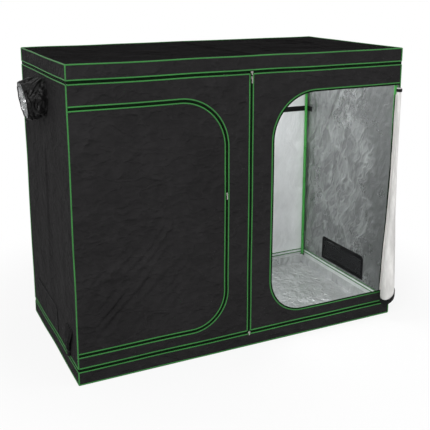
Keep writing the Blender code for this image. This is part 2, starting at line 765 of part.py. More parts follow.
def make_vent(side_name, side, middle):
    """The mesh inside a vent and the flap outside it, on its hinge."""
    lap = VENT_MESH_LAP + CLOTH - VENT_HOLE_INSET
    mesh_x = COVER_X - CLOTH - GAP - VENT_MESH_THICKNESS / 2
    place = Matrix.Translation((side * mesh_x, 0, 0)) @ UPRIGHT_SIDE
    mesh = sheet(f"vent_mesh_{side_name}", [vent_outline(middle, lap)], VENT_MESH_THICKNESS, place)
    finish(mesh, "black_mesh", smooth=False)
    hinge = pivot(f"vent_hinge_{side_name}", (side * (COVER_X + GAP + CLOTH), middle, VENT_BOTTOM))
    place = Matrix.Translation((side * (COVER_X + GAP + CLOTH / 2), 0, 0)) @ UPRIGHT_SIDE
    flap = sheet(f"vent_flap_{side_name}", [vent_outline(middle, 0)], CLOTH, place)
    finish(flap, "black_cloth", smooth=False, parent=hinge)


# Soft pieces


def sleeve_ring(share):
    """One ring of the duct sleeve: it gathers into folds and droops towards its mouth."""
    tilt = SLEEVE_TILT * share
    middle = TENT_HEIGHT - SLEEVE_BELOW_TOP
    centre = Vector(
        (
            -(COVER_X + GAP) - SLEEVE_LENGTH * share,
            SLEEVE_DEPTH + SLEEVE_DRIFT * share,
            middle - SLEEVE_SAG * share,
        )
    )
    radius = SLEEVE_WALL_RADIUS + (SLEEVE_MOUTH_RADIUS - SLEEVE_WALL_RADIUS) * share
    radius += SLEEVE_BULGE * math.sin(math.pi * share)
    ring = []
    for i in range(SLEEVE_POINTS):
        angle = 2 * math.pi * i / SLEEVE_POINTS
        wave = math.cos(SLEEVE_GATHERS * angle + math.sin(2 * angle + math.pi * share))
        reach = radius + SLEEVE_GATHER_HEIGHT * share * wave
        y, z = reach * math.cos(angle), reach * math.sin(angle)
        ring.append(centre + Vector((-z * math.sin(tilt), y, z * math.cos(tilt))))
    return ring


def make_duct_sleeve():
    rings = [sleeve_ring(i / (SLEEVE_RINGS - 1)) for i in range(SLEEVE_RINGS)]
    sleeve = skin("duct_sleeve", rings, False)
    away = sleeve.data.polygons[0]
    middle = Vector((away.center.x, SLEEVE_DEPTH, TENT_HEIGHT - SLEEVE_BELOW_TOP))
    if away.normal.dot(away.center - middle) < 0:
        sleeve.data.flip_normals()
    return finish(thicken(sleeve, CLOTH), "black_cloth")


def make_drawcord():
    """Two crossed cord ends below the mouth of the sleeve, held by a toggle."""
    hem = sleeve_ring(1)
    lowest = min(range(SLEEVE_POINTS), key=lambda i: hem[i].z)
    below = Vector((0, 0, GAP + CORD_RADIUS))
    middle = hem[lowest] - below
    crossing = middle - Vector((0, 0, CORD_DROP / 2))
    ends = []
    for side in (-1, 1):
        start = hem[(lowest + side) % SLEEVE_POINTS] - below
        tip = middle + Vector((0, (middle.y - start.y) * CORD_SPREAD_SHARE, -CORD_DROP))
        ends.append(cord("cord_end", [start, crossing, tip], CORD_RADIUS))
    half = Vector((0, 0, TOGGLE_LENGTH / 2))
    toggle = rod("duct_drawcord", crossing - half, crossing + half, TOGGLE_RADIUS, TOGGLE_SIDES)
    return finish(combine(toggle, ends), "cord")


def make_cable_port():
    """The tied sock: flat against the wall at its top, gathered at the tie, and flared below it."""
    rings = []
    wall = -(COVER_X + GAP)
    shares = zip(PORT_LEVEL_SHARES, PORT_WIDTH_SHARES, PORT_THICKNESS_SHARES)
    for level, width_share, thickness_share in shares:
        half_width = PORT_WIDTH * width_share / 2
        half_thickness = PORT_THICKNESS * thickness_share / 2
        ring = []
        for i in range(PORT_POINTS):
            angle = 2 * math.pi * i / PORT_POINTS
            fold = 1 - PORT_FOLD_SHARE * (1 + math.cos(PORT_FOLDS * angle)) / 2
            y = PORT_MIDDLE + half_width * math.cos(angle) * fold
            x = wall - half_thickness * (1 + math.sin(angle) * fold)
            ring.append(Vector((x, y, PORT_TOP - PORT_LENGTH * level)))
        rings.append(ring)
    return finish(skin("cable_port", rings, True), "black_cloth")


def roll_radius(share):
    """The radius of the rolled door at a share of its height."""
    table = list(zip(ROLL_LEVEL_SHARES, ROLL_RADIUS_SHARES))
    for (low, thick), (high, thin) in zip(table, table[1:]):
        if share <= high:
            part = thick + (thin - thick) * (share - low) / (high - low)
            return ROLL_TOP_RADIUS + (ROLL_BOTTOM_RADIUS - ROLL_TOP_RADIUS) * part
    return ROLL_TOP_RADIUS


def ring_radius(radius):
    """The radius of a ring of flat steps that clears a round of the given radius."""
    return radius / math.cos(math.pi / RING_STEPS) + GAP


def roll_centre(radius):
    """Where a stretch of the roll of this radius hangs: against the seam and the strap behind it."""
    reach = ring_radius(radius)
    return ROLL_RIGHT - STRAP_THICKNESS - reach, -(HALF_DEPTH + GAP + STRAP_THICKNESS + reach)


def roll_ring(share):
    """One turn of the roll, with the step of its hem and shallow lobes that wind round it."""
    radius = roll_radius(share)
    x, y = roll_centre(radius)
    z = ROLL_BOTTOM + (ROLL_TOP - ROLL_BOTTOM) * share
    ring = []
    for i in range(ROLL_POINTS + 1):
        around = i / ROLL_POINTS
        turn = 2 * math.pi * around
        angle = ROLL_HEM_ANGLE + turn
        lobe = ROLL_LOBE_DEPTH * (1 - math.cos(ROLL_LOBES * turn + ROLL_LOBE_TWIST * share)) / 2
        reach = radius - ROLL_HEM_STEP * around - lobe
        ring.append(Vector((x + reach * math.cos(angle), y + reach * math.sin(angle), z)))
    return ring


def make_roll(hinge):
    """The rolled door, with the cloth between it and the seam at the corner."""
    roll = skin("door_right_rolled", [roll_ring(share) for share in ROLL_LEVEL_SHARES], True)
    low = STRAP_MIDDLE + STRAP_HEIGHT / 2 + STRAP_TILT + SEAM_FROM_STRAP
    high = ROLL_TOP - TIE_BELOW_ROLL_TOP - TIE_HEIGHT - SEAM_FROM_STRAP
    height = ROLL_TOP - ROLL_BOTTOM
    inner = [share for share in ROLL_LEVEL_SHARES if low < ROLL_BOTTOM + height * share < high]
    shares = [(low - ROLL_BOTTOM) / height] + inner + [(high - ROLL_BOTTOM) / height]
    outline = [(-(COVER_Y - CLOTH), low), (-(COVER_Y - CLOTH), high)]
    for share in reversed(shares):
        outline.append((roll_centre(roll_radius(share))[1], ROLL_BOTTOM + height * share))
    edge = ROLL_RIGHT - STRAP_THICKNESS - ROLL_HEM_STEP - SEAM_INSET
    place = Matrix.Translation((edge, 0, 0)) @ UPRIGHT_SIDE
    return finish(combine(roll, [sheet("seam", [outline], CLOTH, place)]), "white_lining", parent=hinge)


def make_band_ring(name, radius, middle, height, tilt, hinge):
    """A flat strap round the roll, level or tilted."""
    inner = ring_radius(radius)
    x, y = roll_centre(radius)
    rings = []
    for edge in (-height / 2, height / 2):
        ring = []
        for i in range(RING_STEPS):
            angle = 2 * math.pi * i / RING_STEPS
            z = middle + edge - tilt * math.cos(angle - STRAP_LOW_ANGLE)
            reach = inner + STRAP_THICKNESS
            ring.append(Vector((x + reach * math.cos(angle), y + reach * math.sin(angle), z)))
        rings.append(ring)
    band = skin(name, rings, False)
    face = band.data.polygons[0]
    if face.normal.dot(face.center - Vector((x, y, face.center.z))) < 0:
        band.data.flip_normals()
    return finish(thicken(band, STRAP_THICKNESS), "black_webbing", parent=hinge)


def make_roll_strap(hinge):
    name, middle = "roll_strap_bottom", STRAP_MIDDLE
    return make_band_ring(name, ROLL_BOTTOM_RADIUS, middle, STRAP_HEIGHT, STRAP_TILT, hinge)


def make_roll_tie(hinge):
    middle = ROLL_TOP - TIE_BELOW_ROLL_TOP - TIE_HEIGHT / 2
    return make_band_ring("roll_tie_top", ROLL_TOP_RADIUS, middle, TIE_HEIGHT, 0, hinge)


# Zip sliders


def slider_body(name, x, z, across, along):
    """The slider's block, in front of the zip."""
    half_x, half_z = across / 2, along / 2
    block = box(name, (x - half_x, SLIDER_FRONT, z - half_z), (x + half_x, SLIDER_BACK, z + half_z))
    modifier = block.modifiers.new("edges", "BEVEL")
    modifier.width = SLIDER_BEVEL
    modifier.segments = 1
    return apply_modifiers(block)


def pull_plate(name, x, low, high, width, thickness):
    """A flat plate of a pull, in line with its pin."""
    near, far = PIN_Y - thickness / 2, PIN_Y + thickness / 2
    return box(name, (x - width / 2, near, low), (x + width / 2, far, high))


def make_slider_with_pull(name, x, z, carrier):
    """A slider on an upright zip, with ears and a pin, and a pull that swings on the pin."""
    slide = pivot(f"{name}_slide", (x, PIN_Y, z), carrier)
    body = slider_body(name, x, z, SLIDER_WIDTH, SLIDER_LENGTH)
    ear_inner = EYE_WIDTH / 2 + GAP
    ear_outer = ear_inner + EAR_THICKNESS
    ears = []
    for left, right in ((-ear_outer, -ear_inner), (ear_inner, ear_outer)):
        low = (x + left, PIN_Y - EAR_PAST_PIN, z - EAR_HEIGHT / 2)
        high = (x + right, SLIDER_FRONT + EAR_ROOT, z + EAR_HEIGHT / 2)
        ears.append(box("ear", low, high))
    reach = ear_inner + EAR_THICKNESS / 2
    pin = rod("pin", (x - reach, PIN_Y, z), (x + reach, PIN_Y, z), PIN_RADIUS, PIN_SIDES)
    finish(combine(body, ears + [pin]), "zinc", smooth=False, parent=slide)

    swing = pivot(f"{name}_pull_swing", (x, PIN_Y, z), slide)
    half_eye = EYE_WIDTH / 2
    eye = rod(f"{name}_pull", (x - half_eye, PIN_Y, z), (x + half_eye, PIN_Y, z), EYE_RADIUS, EYE_SIDES)
    neck_bottom = z - PULL_NECK_LENGTH - OVERRUN
    neck = pull_plate("neck", x, neck_bottom, z - PIN_RADIUS, PULL_NECK_WIDTH, PULL_NECK_THICKNESS)
    tab_bottom = z - PULL_LENGTH
    tab = pull_plate("tab", x, tab_bottom, z - PULL_NECK_LENGTH, PULL_WIDTH, PULL_THICKNESS)
    hole_reach = half_eye + OVERRUN
    hole = rod("hole", (x - hole_reach, PIN_Y, z), (x + hole_reach, PIN_Y, z), EYE_HOLE_RADIUS, EYE_SIDES)
    combine(combine(eye, [neck, tab]), [hole], "DIFFERENCE")
    finish(eye, "zinc", smooth=False, parent=swing)


def make_slider_on_band(name, x, z):
    """A slider on a level zip, with a short pull that hangs in front of it."""
    slide = pivot(f"{name}_slide", (x, SLIDER_FRONT, z))
    body = slider_body(name, x, z, SLIDER_LENGTH, SLIDER_WIDTH)
    tab = box(
        "tab",
        (x - PULL_WIDTH / 2, SLIDER_FRONT - PULL_THICKNESS, z - SHORT_PULL_LENGTH),
        (x + PULL_WIDTH / 2, SLIDER_FRONT + EAR_ROOT, z),
    )
    finish(combine(body, [tab]), "zinc", smooth=False, parent=slide)


def build():
    make_frame()
    left_slide = make_hanging_bar("left", -BAR_FROM_CENTRE)
    make_hanging_bar("right", BAR_FROM_CENTRE)
    make_hanging_strap(left_slide, -BAR_FROM_CENTRE)
    make_back_band()

    make_roof_cap()
    make_base_skirt()
    make_floor_tray()
    make_back_wall()
    make_side_wall("wall_left", -1, LEFT_VENT_DEPTH, True)
    make_side_wall("wall_right", 1, RIGHT_VENT_DEPTH, False)
    make_vent("left", -1, LEFT_VENT_DEPTH)
    make_vent("right", 1, RIGHT_VENT_DEPTH)
    make_duct_sleeve()
    make_drawcord()
    make_cable_port()

    left_hinge = pivot("leaf_left_hinge", (-HINGE_X, HINGE_Y, 0))
    right_hinge = pivot("leaf_right_hinge", (HINGE_X, HINGE_Y, 0))
    make_front_panel("front_panel_left", -1, ZIP_TAPE, left_hinge)
    make_front_panel("front_panel_right", 1, ZIP_TAPE + GAP, right_hinge)
    door_hinge = pivot("door_left_hinge", (-HINGE_X, HINGE_Y, 0), left_hinge)
    make_left_door(door_hinge)
    make_roll(right_hinge)
    make_roll_strap(right_hinge)
    make_roll_tie(right_hinge)

    make_slider_with_pull("door_slider", -DOOR_FROM_CENTRE, DOOR_SLIDER_HEIGHT, door_hinge)
    make_slider_with_pull("centre_slider", 0, ROOF_ZIP - CENTRE_SLIDER_DROP, left_hinge)
    make_slider_on_band("roof_zip_slider", 0, ROOF_ZIP)
    make_slider_on_band("base_zip_slider", 0, BASE_ZIP)


build()
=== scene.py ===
import math
from contextlib import contextmanager

import bpy
import numpy as np
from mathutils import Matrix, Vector


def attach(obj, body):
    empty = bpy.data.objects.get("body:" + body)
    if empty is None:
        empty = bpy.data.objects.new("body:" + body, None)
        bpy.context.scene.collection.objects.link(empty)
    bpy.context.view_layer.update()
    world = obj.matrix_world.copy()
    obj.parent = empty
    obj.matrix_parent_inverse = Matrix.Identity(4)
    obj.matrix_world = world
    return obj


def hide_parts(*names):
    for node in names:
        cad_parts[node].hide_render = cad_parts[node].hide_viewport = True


bl_info = {
    "name": "Indoor grow tent",
    "version": (1, 0, 0),
    "blender": (4, 5, 0),
    "location": "3D Viewport > Sidebar > Grow tent",
    "description": "Dresses the frame of a grow tent in its cloth, piping, zips, straps and finishes",
    "category": "Object",
}

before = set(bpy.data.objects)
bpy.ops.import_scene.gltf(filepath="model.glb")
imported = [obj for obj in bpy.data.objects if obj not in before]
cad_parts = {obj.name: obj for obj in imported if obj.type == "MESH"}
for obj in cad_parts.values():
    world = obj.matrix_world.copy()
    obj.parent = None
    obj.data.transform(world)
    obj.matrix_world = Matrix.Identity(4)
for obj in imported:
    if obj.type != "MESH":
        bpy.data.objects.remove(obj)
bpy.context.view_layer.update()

# Where the outside of the cloth and the middle of the piping lie
COVER_X, COVER_Y, COVER_TOP = 1.196, 0.596, 1.996
PIPING_X, PIPING_Y, PIPING_TOP, PIPING_BOTTOM = 1.1955, 0.5955, 1.9955, 0.0055

# The zips round the tent, the beads beside them, and the edges of the cloth between them
ROOF_ZIP, BASE_ZIP, ZIP_TO_BEAD = 1.894, 0.102, 0.013
CAP_BEAD, TOP_BEAD = ROOF_ZIP + ZIP_TO_BEAD, ROOF_ZIP - ZIP_TO_BEAD
BOTTOM_BEAD, SKIRT_BEAD = BASE_ZIP + ZIP_TO_BEAD, BASE_ZIP - ZIP_TO_BEAD
CAP_BOTTOM, WALL_TOP = 1.8872, 1.8869
SKIRT_TOP, WALL_BOTTOM = 0.1088, 0.1091
WALL_HEIGHT = WALL_TOP - WALL_BOTTOM
LEAF_EDGE, BEAD_END = 1.1907, 1.1901
TURN = 0.006
UP, FORWARD, BACKWARD = (0, 0, 1), (0, -1, 0), (0, 1, 0)

# The D of a door zip, and the door's flat size
DOOR_EDGE, DOOR_TOP, DOOR_BOTTOM = 0.174, 1.741, 0.1995
DOOR_TOP_TURN, DOOR_BOTTOM_TURN = 0.317, 0.250
DOOR_WIDTH, DOOR_HEIGHT = 1.016, 1.5415

# The strap across the back, and the tray
BACK_STRAP, BACK_STRAP_X, BACK_STRAP_Y, BACK_STRAP_END = 1.39, 1.1937, 0.5937, 0.080
TRAY_X, TRAY_Y, TRAY_LOW, TRAY_HIGH = 1.1594, 0.5594, 0.0023, 0.080

# Low vents, with their nets inside the wall and their flaps outside it
VENT_HALF, VENT_BOTTOM, VENT_TOP, VENT_CORNER = 0.280, 0.140, 0.330, 0.030
VENT_TALL, VENT_HOLE_INSET, NET_INSET = VENT_TOP - VENT_BOTTOM, 0.028, 0.008
LEFT_VENT, RIGHT_VENT = 0.180, 0.010
NET_X, BINDING_X, FLAP_X, HEM_X = 1.1930, 1.1937, 1.1980, 1.1984

# The duct sleeve, from its root in the wall to its mouth
WALL_FACE = -1.1963
DUCT_Y, DUCT_Z, DUCT_HOLE = -0.020, 1.735, 0.115
DUCT_ROOT, DUCT_WAY = np.array([WALL_FACE, DUCT_Y, DUCT_Z]), np.array([-0.130, 0.010, -0.015])
ROOT_RADIUS, MOUTH_RADIUS, DUCT_TILT = 0.125, 0.119, math.radians(8)

# The tied cable port
PORT_Y, PORT_TOP, PORT_LENGTH, PORT_HALF, PORT_HALF_THICK = -0.405, 0.318, 0.195, 0.086, 0.017

# The rolled door, its strap and its tie
ROLL_LOW, ROLL_HIGH, ROLL_LENGTH = 0.1495, 1.723, 1.5735
ROLL_CORE, ROLL_FOOT, TIE_RADIUS = 0.018, 0.0515, 0.018
HINGE_X, LEAF_FACE, ROLL_ROOM, BAND_THICK, FIRST_TURN = 1.190, -0.6, 0.0003, 0.0018, 0.005
STRAP_MIDDLE, STRAP_HALF, STRAP_TILT, STRAP_LOW_ANGLE = 0.180, 0.019, 0.042, math.radians(200)
TIE_LOW, TIE_HIGH = 1.695, 1.717

# The left hanging bar, and the strap over it
BAR_X, BAR_HEIGHT = -0.6, 1.9782


def number(name, description, default, **kind):
    return bpy.props.FloatProperty(name=name, description=description, default=default, **kind)


def metres(name, description, default):
    return number(name, description, default, unit="LENGTH")


def colour(name, description, default):
    return bpy.props.FloatVectorProperty(
        name=name, description=description, default=default, subtype="COLOR", size=3, min=0, max=1
    )


class TentSizes(bpy.types.PropertyGroup):
    """Sizes of the cloth, its seams and its folds"""

    cloth_thickness: metres("Cloth thickness", "Of the woven shell with its lining", 0.002)
    roll_thickness: metres("Rolled cloth", "Thickness of the cloth in the rolled door", 0.0007)
    cell: metres("Cell", "Size of the cloth's mesh cells", 0.0125)
    fold_depth: metres("Fold depth", "Height of the soft folds in the walls", 0.0024)
    crease_depth: metres("Crease depth", "Height of the creases left by packing", 0.0018)
    crinkle_depth: metres("Crinkle depth", "Height of the lining's crinkles", 0.0022)
    roof_sag: metres("Roof sag", "How far the roof hangs between its rails", 0.0045)
    piping_radius: metres("Piping radius", "Of the round bead in each seam", 0.0045)
    tape_thickness: metres("Tape thickness", "Of the zip's woven tape", 0.0006)
    coil_radius: metres("Coil radius", "Of the zip's coil of teeth", 0.0021)
    drift: metres("Seam drift", "How far the sewn seams wander", 0.0011)
    weave: metres("Weave", "Distance between the shell's threads", 0.0011)
    roll_turns: bpy.props.IntProperty(
        name="Turns of the roll", description="How often the rolled door goes round", default=10
    )


class TentColours(bpy.types.PropertyGroup):
    """Colours of the tent's cloths, trims and metals"""

    shell: colour("Shell", "Woven outside of the walls", (0.0167, 0.0161, 0.0166))
    # Painted shade: the roof is the same cloth as the shell, given a darker colour for the tent's top.
    roof: colour("Roof", "Woven outside of the roof", (0.0128, 0.0122, 0.0125))
    # The lining is one silver film all round. Its colours here differ by how light falls on each wall:
    # silver, on the right wall, is darker as painted shade, and lining and rolled lining are lighter as
    # painted light.
    lining: colour("Lining", "Bright inside of the walls", (0.70, 0.71, 0.72))
    silver: colour("Silver", "Crinkled inside of the right wall and the sleeve", (0.33, 0.34, 0.34))
    rolled_lining: colour("Rolled lining", "Inside of the rolled door", (0.76, 0.75, 0.73))
    piping: colour("Piping", "Bias tape round the beads", (0.027, 0.166, 0.032))
    tape: colour("Zip tape", "Woven tape of the zips", (0.0018, 0.0105, 0.0024))
    coil: colour("Zip coil", "Teeth of the zips", (0.0045, 0.0050, 0.0045))
    webbing: colour("Webbing", "Straps", (0.0055, 0.0055, 0.006))
    net: colour("Net", "Insect net in the vents", (0.006, 0.006, 0.007))
    tube: colour("Frame tube", "Enamel on the tubes", (0.040, 0.290, 0.045))
    bar: colour("Hanging bar", "Enamel on the hanging bars", (0.70, 0.70, 0.69))
    plastic: colour("Plastic", "Corner joints, toggle and buckle", (0.016, 0.016, 0.017))
    metal: colour("Slider metal", "Plated zip sliders", (0.46, 0.45, 0.42))
    cord: colour("Cord", "Braid of the drawcord", (0.018, 0.018, 0.019))


class StageSettings(bpy.types.PropertyGroup):
    """Camera, lamps and floor"""

    camera_place: bpy.props.FloatVectorProperty(
        name="Camera", description="Where the camera stands", default=(-2.252, -4.708, 2.471),
        subtype="TRANSLATION",
    )
    camera_yaw: number("Yaw", "Turn to the right", math.radians(25.86), subtype="ANGLE")
    camera_pitch: number("Pitch", "Tilt downwards", math.radians(13.07), subtype="ANGLE")
    lens: number("Lens", "Focal length in millimetres", 62.04)
    shift: number("Shift", "Upward shift of the frame, as a share of its width", -0.15)
    sky: number("Sky", "Strength of the soft light all round", 0.42)
    key: number("Key lamp", "Power in watts", 270.0)
    fill: number("Fill lamp", "Power in watts", 60.0)
    inside: number("Inside lamp", "Power in watts", 16.0)
    floor: colour("Floor", "Studio floor", (0.90, 0.90, 0.90))


# Shader maths


class Wire:
    """A socket in a material's nodes, so that sums on it read as plain arithmetic."""

    def __init__(self, tree, socket=None):
        self.tree = tree
        self.socket = socket

    def node(self, kind, settings, inputs, output=0):
        """Adds a node with its settings and inputs, and returns one of its outputs."""
        item = self.tree.nodes.new(kind)
        for name, value in settings.items():
            setattr(item, name, value)
        feed(item, inputs)
        return Wire(self.tree, item.outputs[output])

    def maths(self, operation, *values):
        return self.node("ShaderNodeMath", {"operation": operation}, dict(enumerate(values)))

    def __add__(self, other):
        return self.maths("ADD", self, other)

    def __radd__(self, other):
        return self.maths("ADD", other, self)

    def __sub__(self, other):
        return self.maths("SUBTRACT", self, other)

    def __rsub__(self, other):
        return self.maths("SUBTRACT", other, self)

    def __mul__(self, other):
        return self.maths("MULTIPLY", self, other)

    def __rmul__(self, other):
        return self.maths("MULTIPLY", other, self)

    def __lt__(self, other):
        return self.maths("LESS_THAN", self, other)

    def __gt__(self, other):
        return self.maths("GREATER_THAN", self, other)

    def size(self):
        return self.maths("ABSOLUTE", self)

    def most(self, other):
        """The larger of two values."""
        return self.maths("MAXIMUM", self, other)

    def sine(self, pitch):
        """A wave with one crest for each pitch metres."""
        return self.maths("SINE", self * (2 * math.pi / pitch))

    def part(self, axis):
        """One axis of a place or of a UV map."""
        return self.node("ShaderNodeSeparateXYZ", {}, {0: self}, axis)

    def times(self, *factors):
        """A place with each axis drawn out by a factor of its own."""
        return self.node("ShaderNodeVectorMath", {"operation": "MULTIPLY"}, {0: self, 1: factors})

    def between(self, low, high):
        """0 up to low, 1 from high, smooth between."""
        inputs = {"Value": self, 1: low, 2: high}
        return self.node("ShaderNodeMapRange", {"interpolation_type": "SMOOTHSTEP"}, inputs)

    def mix(self, first, second):
        """The colour first where this is 0, and second where it is 1."""
        inputs = {"Factor": self}
        for key, value in ((6, first), (7, second)):
            inputs[key] = value if isinstance(value, Wire) else (*value, 1)
        return self.node("ShaderNodeMix", {"data_type": "RGBA"}, inputs, 2)

    def tones(self, shade, first, second):
        """A colour times first where this is 0, and times second where it is 1."""
        return self.mix(tone(shade, first), tone(shade, second))


def feed(item, inputs):
    """Sets a node's sockets to values, or joins wires to them."""
    for key, value in inputs.items():
        if isinstance(value, Wire):
            value.tree.links.new(value.socket, item.inputs[key])
        else:
            item.inputs[key].default_value = value


def tone(shade, factor):
    return tuple(min(1.0, c * factor) for c in shade)


def new_material(name):
    """A material with one Principled shader, and the place of a point in the tent's own coordinates."""
    material = bpy.data.materials.new(name)
    material.use_nodes = True
    return material, Wire(material.node_tree).node("ShaderNodeTexCoord", {}, {}, "Object")


def along_cloth(place):
    """The piece's UV map, in metres."""
    return place.node("ShaderNodeUVMap", {"uv_map": "UVMap"}, {})


def cloud(where, scale, detail=4.0, roughness=0.55, kind="FBM"):
    """Chance noise from 0 to 1."""
    inputs = {"Vector": where, "Scale": scale, "Detail": detail, "Roughness": roughness}
    return where.node("ShaderNodeTexNoise", {"noise_type": kind}, inputs)


def off_lines(where, scale, detail, roughness, width):
    """0 along lines that wander by chance, 1 from width away."""
    return (cloud(where, scale, detail, roughness) - 0.5).size().between(0.0, width)


def finish_with(material, base, rough, bumps, **sockets):
    """Joins a colour, a roughness and a chain of bumps to the shader, and sets its other sockets."""
    inputs = {"Base Color": base, "Roughness": rough}
    for height, distance, strength in bumps:
        bump = {"Height": height, "Distance": distance, "Strength": strength}
        if "Normal" in inputs:
            bump["Normal"] = inputs["Normal"]
        inputs["Normal"] = height.node("ShaderNodeBump", {}, bump)
    for key, value in sockets.items():
        inputs[key.replace("_", " ")] = value
    feed(material.node_tree.nodes["Principled BSDF"], inputs)
    return material


def woven(name, shade, rough, weave, specular=0.05, crumple=1.0):
    """Coated black canvas: a plain weave, a dusty bloom, and crumples left by packing, painted lighter on
    their ridges and on the thread crowns as painted highlight.
    """
    material, place = new_material(name)
    cloth = along_cloth(place)
    threads = cloth.part(0).sine(weave * 2) * cloth.part(1).sine(weave * 2)
    bloom = cloud(place, 2.6, 6.0)
    patches = cloud(place, 17.0, 5.0, 0.6)
    flatter = place.times(1.0, 1.0, 1.7)
    crumples = cloud(flatter, 4.2, 5.0, 0.55)
    ridges = 2.0 - off_lines(flatter, 3.2, 3.0, 0.5, 0.045) - off_lines(flatter, 6.0, 2.0, 0.45, 0.07)
    base = (bloom * 0.55 + patches * 0.45).between(0.30, 0.72).tones(shade, 0.76, 1.16)
    # Painted highlight: lighter along the crease ridges and crumples, standing in for light on the folds.
    base = (ridges.between(0.4, 1.6) * 0.16 + crumples.between(0.5, 0.75) * 0.20).mix(base, tone(shade, 1.9))
    # Painted highlight: lighter on the crowns of the threads.
    base = (threads.between(-0.2, 1.0) * 0.35).mix(base, tone(shade, 1.7))
    return finish_with(
        material, base, rough + (patches - 0.5) * 0.16 - threads * 0.04,
        [(crumples, 0.070 * crumple, 0.7), (ridges, 0.0050 * crumple, 0.7), (threads, 0.00018, 0.5)],
        Specular_IOR_Level=specular, Sheen_Weight=0.2 * specular, Sheen_Roughness=0.5,
    )


def foil(name, shade, rough, metallic, crinkle, painted_reflection, smooth_end=-9.0):
    """Bright film lining: long sharp creases over soft ones, on a fine diamond grid.

    In front of smooth_end it hangs smooth, and is painted darker there as painted shade. The argument after
    crinkle sets how strongly the facets are painted darker and the creases lighter, as painted reflection on
    the crinkled film.
    """
    material, place = new_material(name)
    cloth = along_cloth(place)
    bend = cloud(place, 3.0, 3.0)
    rotation = (math.radians(24), math.radians(18), math.radians(12))
    slant = place.node(
        "ShaderNodeMapping", {"vector_type": "TEXTURE"},
        {"Vector": place, "Rotation": rotation, "Scale": (1.0, 1.0, 5.2)},
    )
    offset = bend.node("ShaderNodeVectorMath", {"operation": "SCALE"}, {0: bend, "Scale": 0.24})
    bent = slant.node("ShaderNodeVectorMath", {"operation": "ADD"}, {0: slant, 1: offset})
    streaks = 2.0 - off_lines(bent, 5.0, 2.0, 0.45, 0.05) - off_lines(bent, 12.0, 2.0, 0.5, 0.08)
    facets = cloud(bent, 10.0, 3.0, 0.5)
    depth = place.part(1) + place.part(2) * -0.12 + (bend - 0.5) * 0.5
    worked = depth.between(smooth_end - 0.05, smooth_end + 0.09)
    streaks = streaks * (0.25 + worked * 0.75)
    fine = cloud(place, 70.0, 4.0, 0.6)
    grid = (cloth.part(0) + cloth.part(1)).sine(0.006) * (cloth.part(0) - cloth.part(1)).sine(0.006)
    dull = cloud(place, 3.0, 5.0)
    base = dull.between(0.3, 0.7).tones(shade, 0.85, 1.10)
    # Painted reflection: darker facets, standing in for the dark reflections of the crinkled film.
    base = facets.between(0.40, 0.62).mix(tone(shade, 1 - 0.36 * painted_reflection), base)
    # Painted shade: the smooth part in front of smooth_end is darker.
    base = worked.mix(tone(shade, 0.62), base)
    # Painted highlight: lighter along the long creases.
    base = (streaks.between(0.3, 1.6) * (0.5 * painted_reflection)).mix(base, tone(shade, 1.9))
    bumps = [
        (facets * (0.3 + worked * 0.7), 0.045 * crinkle, 0.7), (streaks, 0.0035 * crinkle, 0.7),
        (fine, 0.0015 * crinkle, 0.5), (grid, 0.0001, 0.35),
    ]
    rough = rough + (dull - 0.5) * 0.2 + fine * 0.06
    return finish_with(material, base, rough, bumps, Metallic=metallic, Specular_IOR_Level=0.4)


def satin(name, shade):
    """The lining as it shows on the rolled door: pale as painted reflection, satin, with long soft streaks
    painted darker as painted shade of its folds.
    """
    material, place = new_material(name)
    streaks = cloud(along_cloth(place).times(34.0, 3.0, 1.0), 1.0, 5.0, 0.6)
    # Painted shade: the streaks darken the pale lining, standing in for shade in the roll's soft folds.
    base = streaks.between(0.35, 0.70).tones(shade, 0.72, 1.07)
    bumps = [(streaks, 0.018, 0.7), (cloud(place, 14.0), 0.006, 0.35), (cloud(place, 60.0), 0.0006, 0.4)]
    rough = 0.38 + (cloud(place, 9.0) - 0.5) * 0.2
    return finish_with(material, base, rough, bumps, Metallic=0.08, Specular_IOR_Level=0.5)


def bias_tape(name, shade):
    """Folded green tape drawn tight over its cord, with slanting ribs."""
    material, place = new_material(name)
    cloth = along_cloth(place)
    ribs = (cloth.part(1) + cloth.part(0) * 0.6).sine(0.0016)
    fading = cloud(place, 5.0, 5.0)
    base = fading.between(0.3, 0.7).tones(shade, 0.84, 1.14)
    # Painted highlight: lighter along the crests of the ribs.
    base = (ribs.between(0.0, 1.0) * 0.3).mix(base, tone(shade, 1.35))
    bumps = [(cloud(place, 95.0, 3.0), 0.0010, 0.5), (ribs, 0.00022, 0.6)]
    rough = 0.62 + (fading - 0.5) * 0.15
    return finish_with(material, base, rough, bumps, Specular_IOR_Level=0.3, Sheen_Weight=0.05)


def herringbone(name, shade):
    """Zip tape: a chevron weave."""
    material, place = new_material(name)
    cloth = along_cloth(place)
    slant = cloth.part(0).sine(0.006).between(-0.1, 0.1) * 2 - 1
    chevron = (cloth.part(1) + cloth.part(0) * slant).sine(0.0013)
    lint = cloud(place, 30.0, 5.0)
    base = lint.between(0.4, 0.8).tones(shade, 0.8, 1.8)
    rough = 0.85 + (lint - 0.5) * 0.1
    return finish_with(material, base, rough, [(chevron, 0.0002, 0.6)], Specular_IOR_Level=0.01)


def coiled_teeth(name, shade):
    """Nylon zip coil: close turns across the line of the zip, painted darker between them as painted shade
    and lighter on them as painted highlight.
    """
    material, place = new_material(name)
    turns = along_cloth(place).part(1).sine(0.0024)
    # Painted shade and highlight: darker between the turns and lighter on their crowns.
    base = turns.between(-0.6, 0.9).tones(shade, 0.5, 1.5)
    rough = 0.5 + (cloud(place, 40.0, 3.0) - 0.5) * 0.2
    return finish_with(material, base, rough, [(turns, 0.0007, 0.9)], Specular_IOR_Level=0.08)


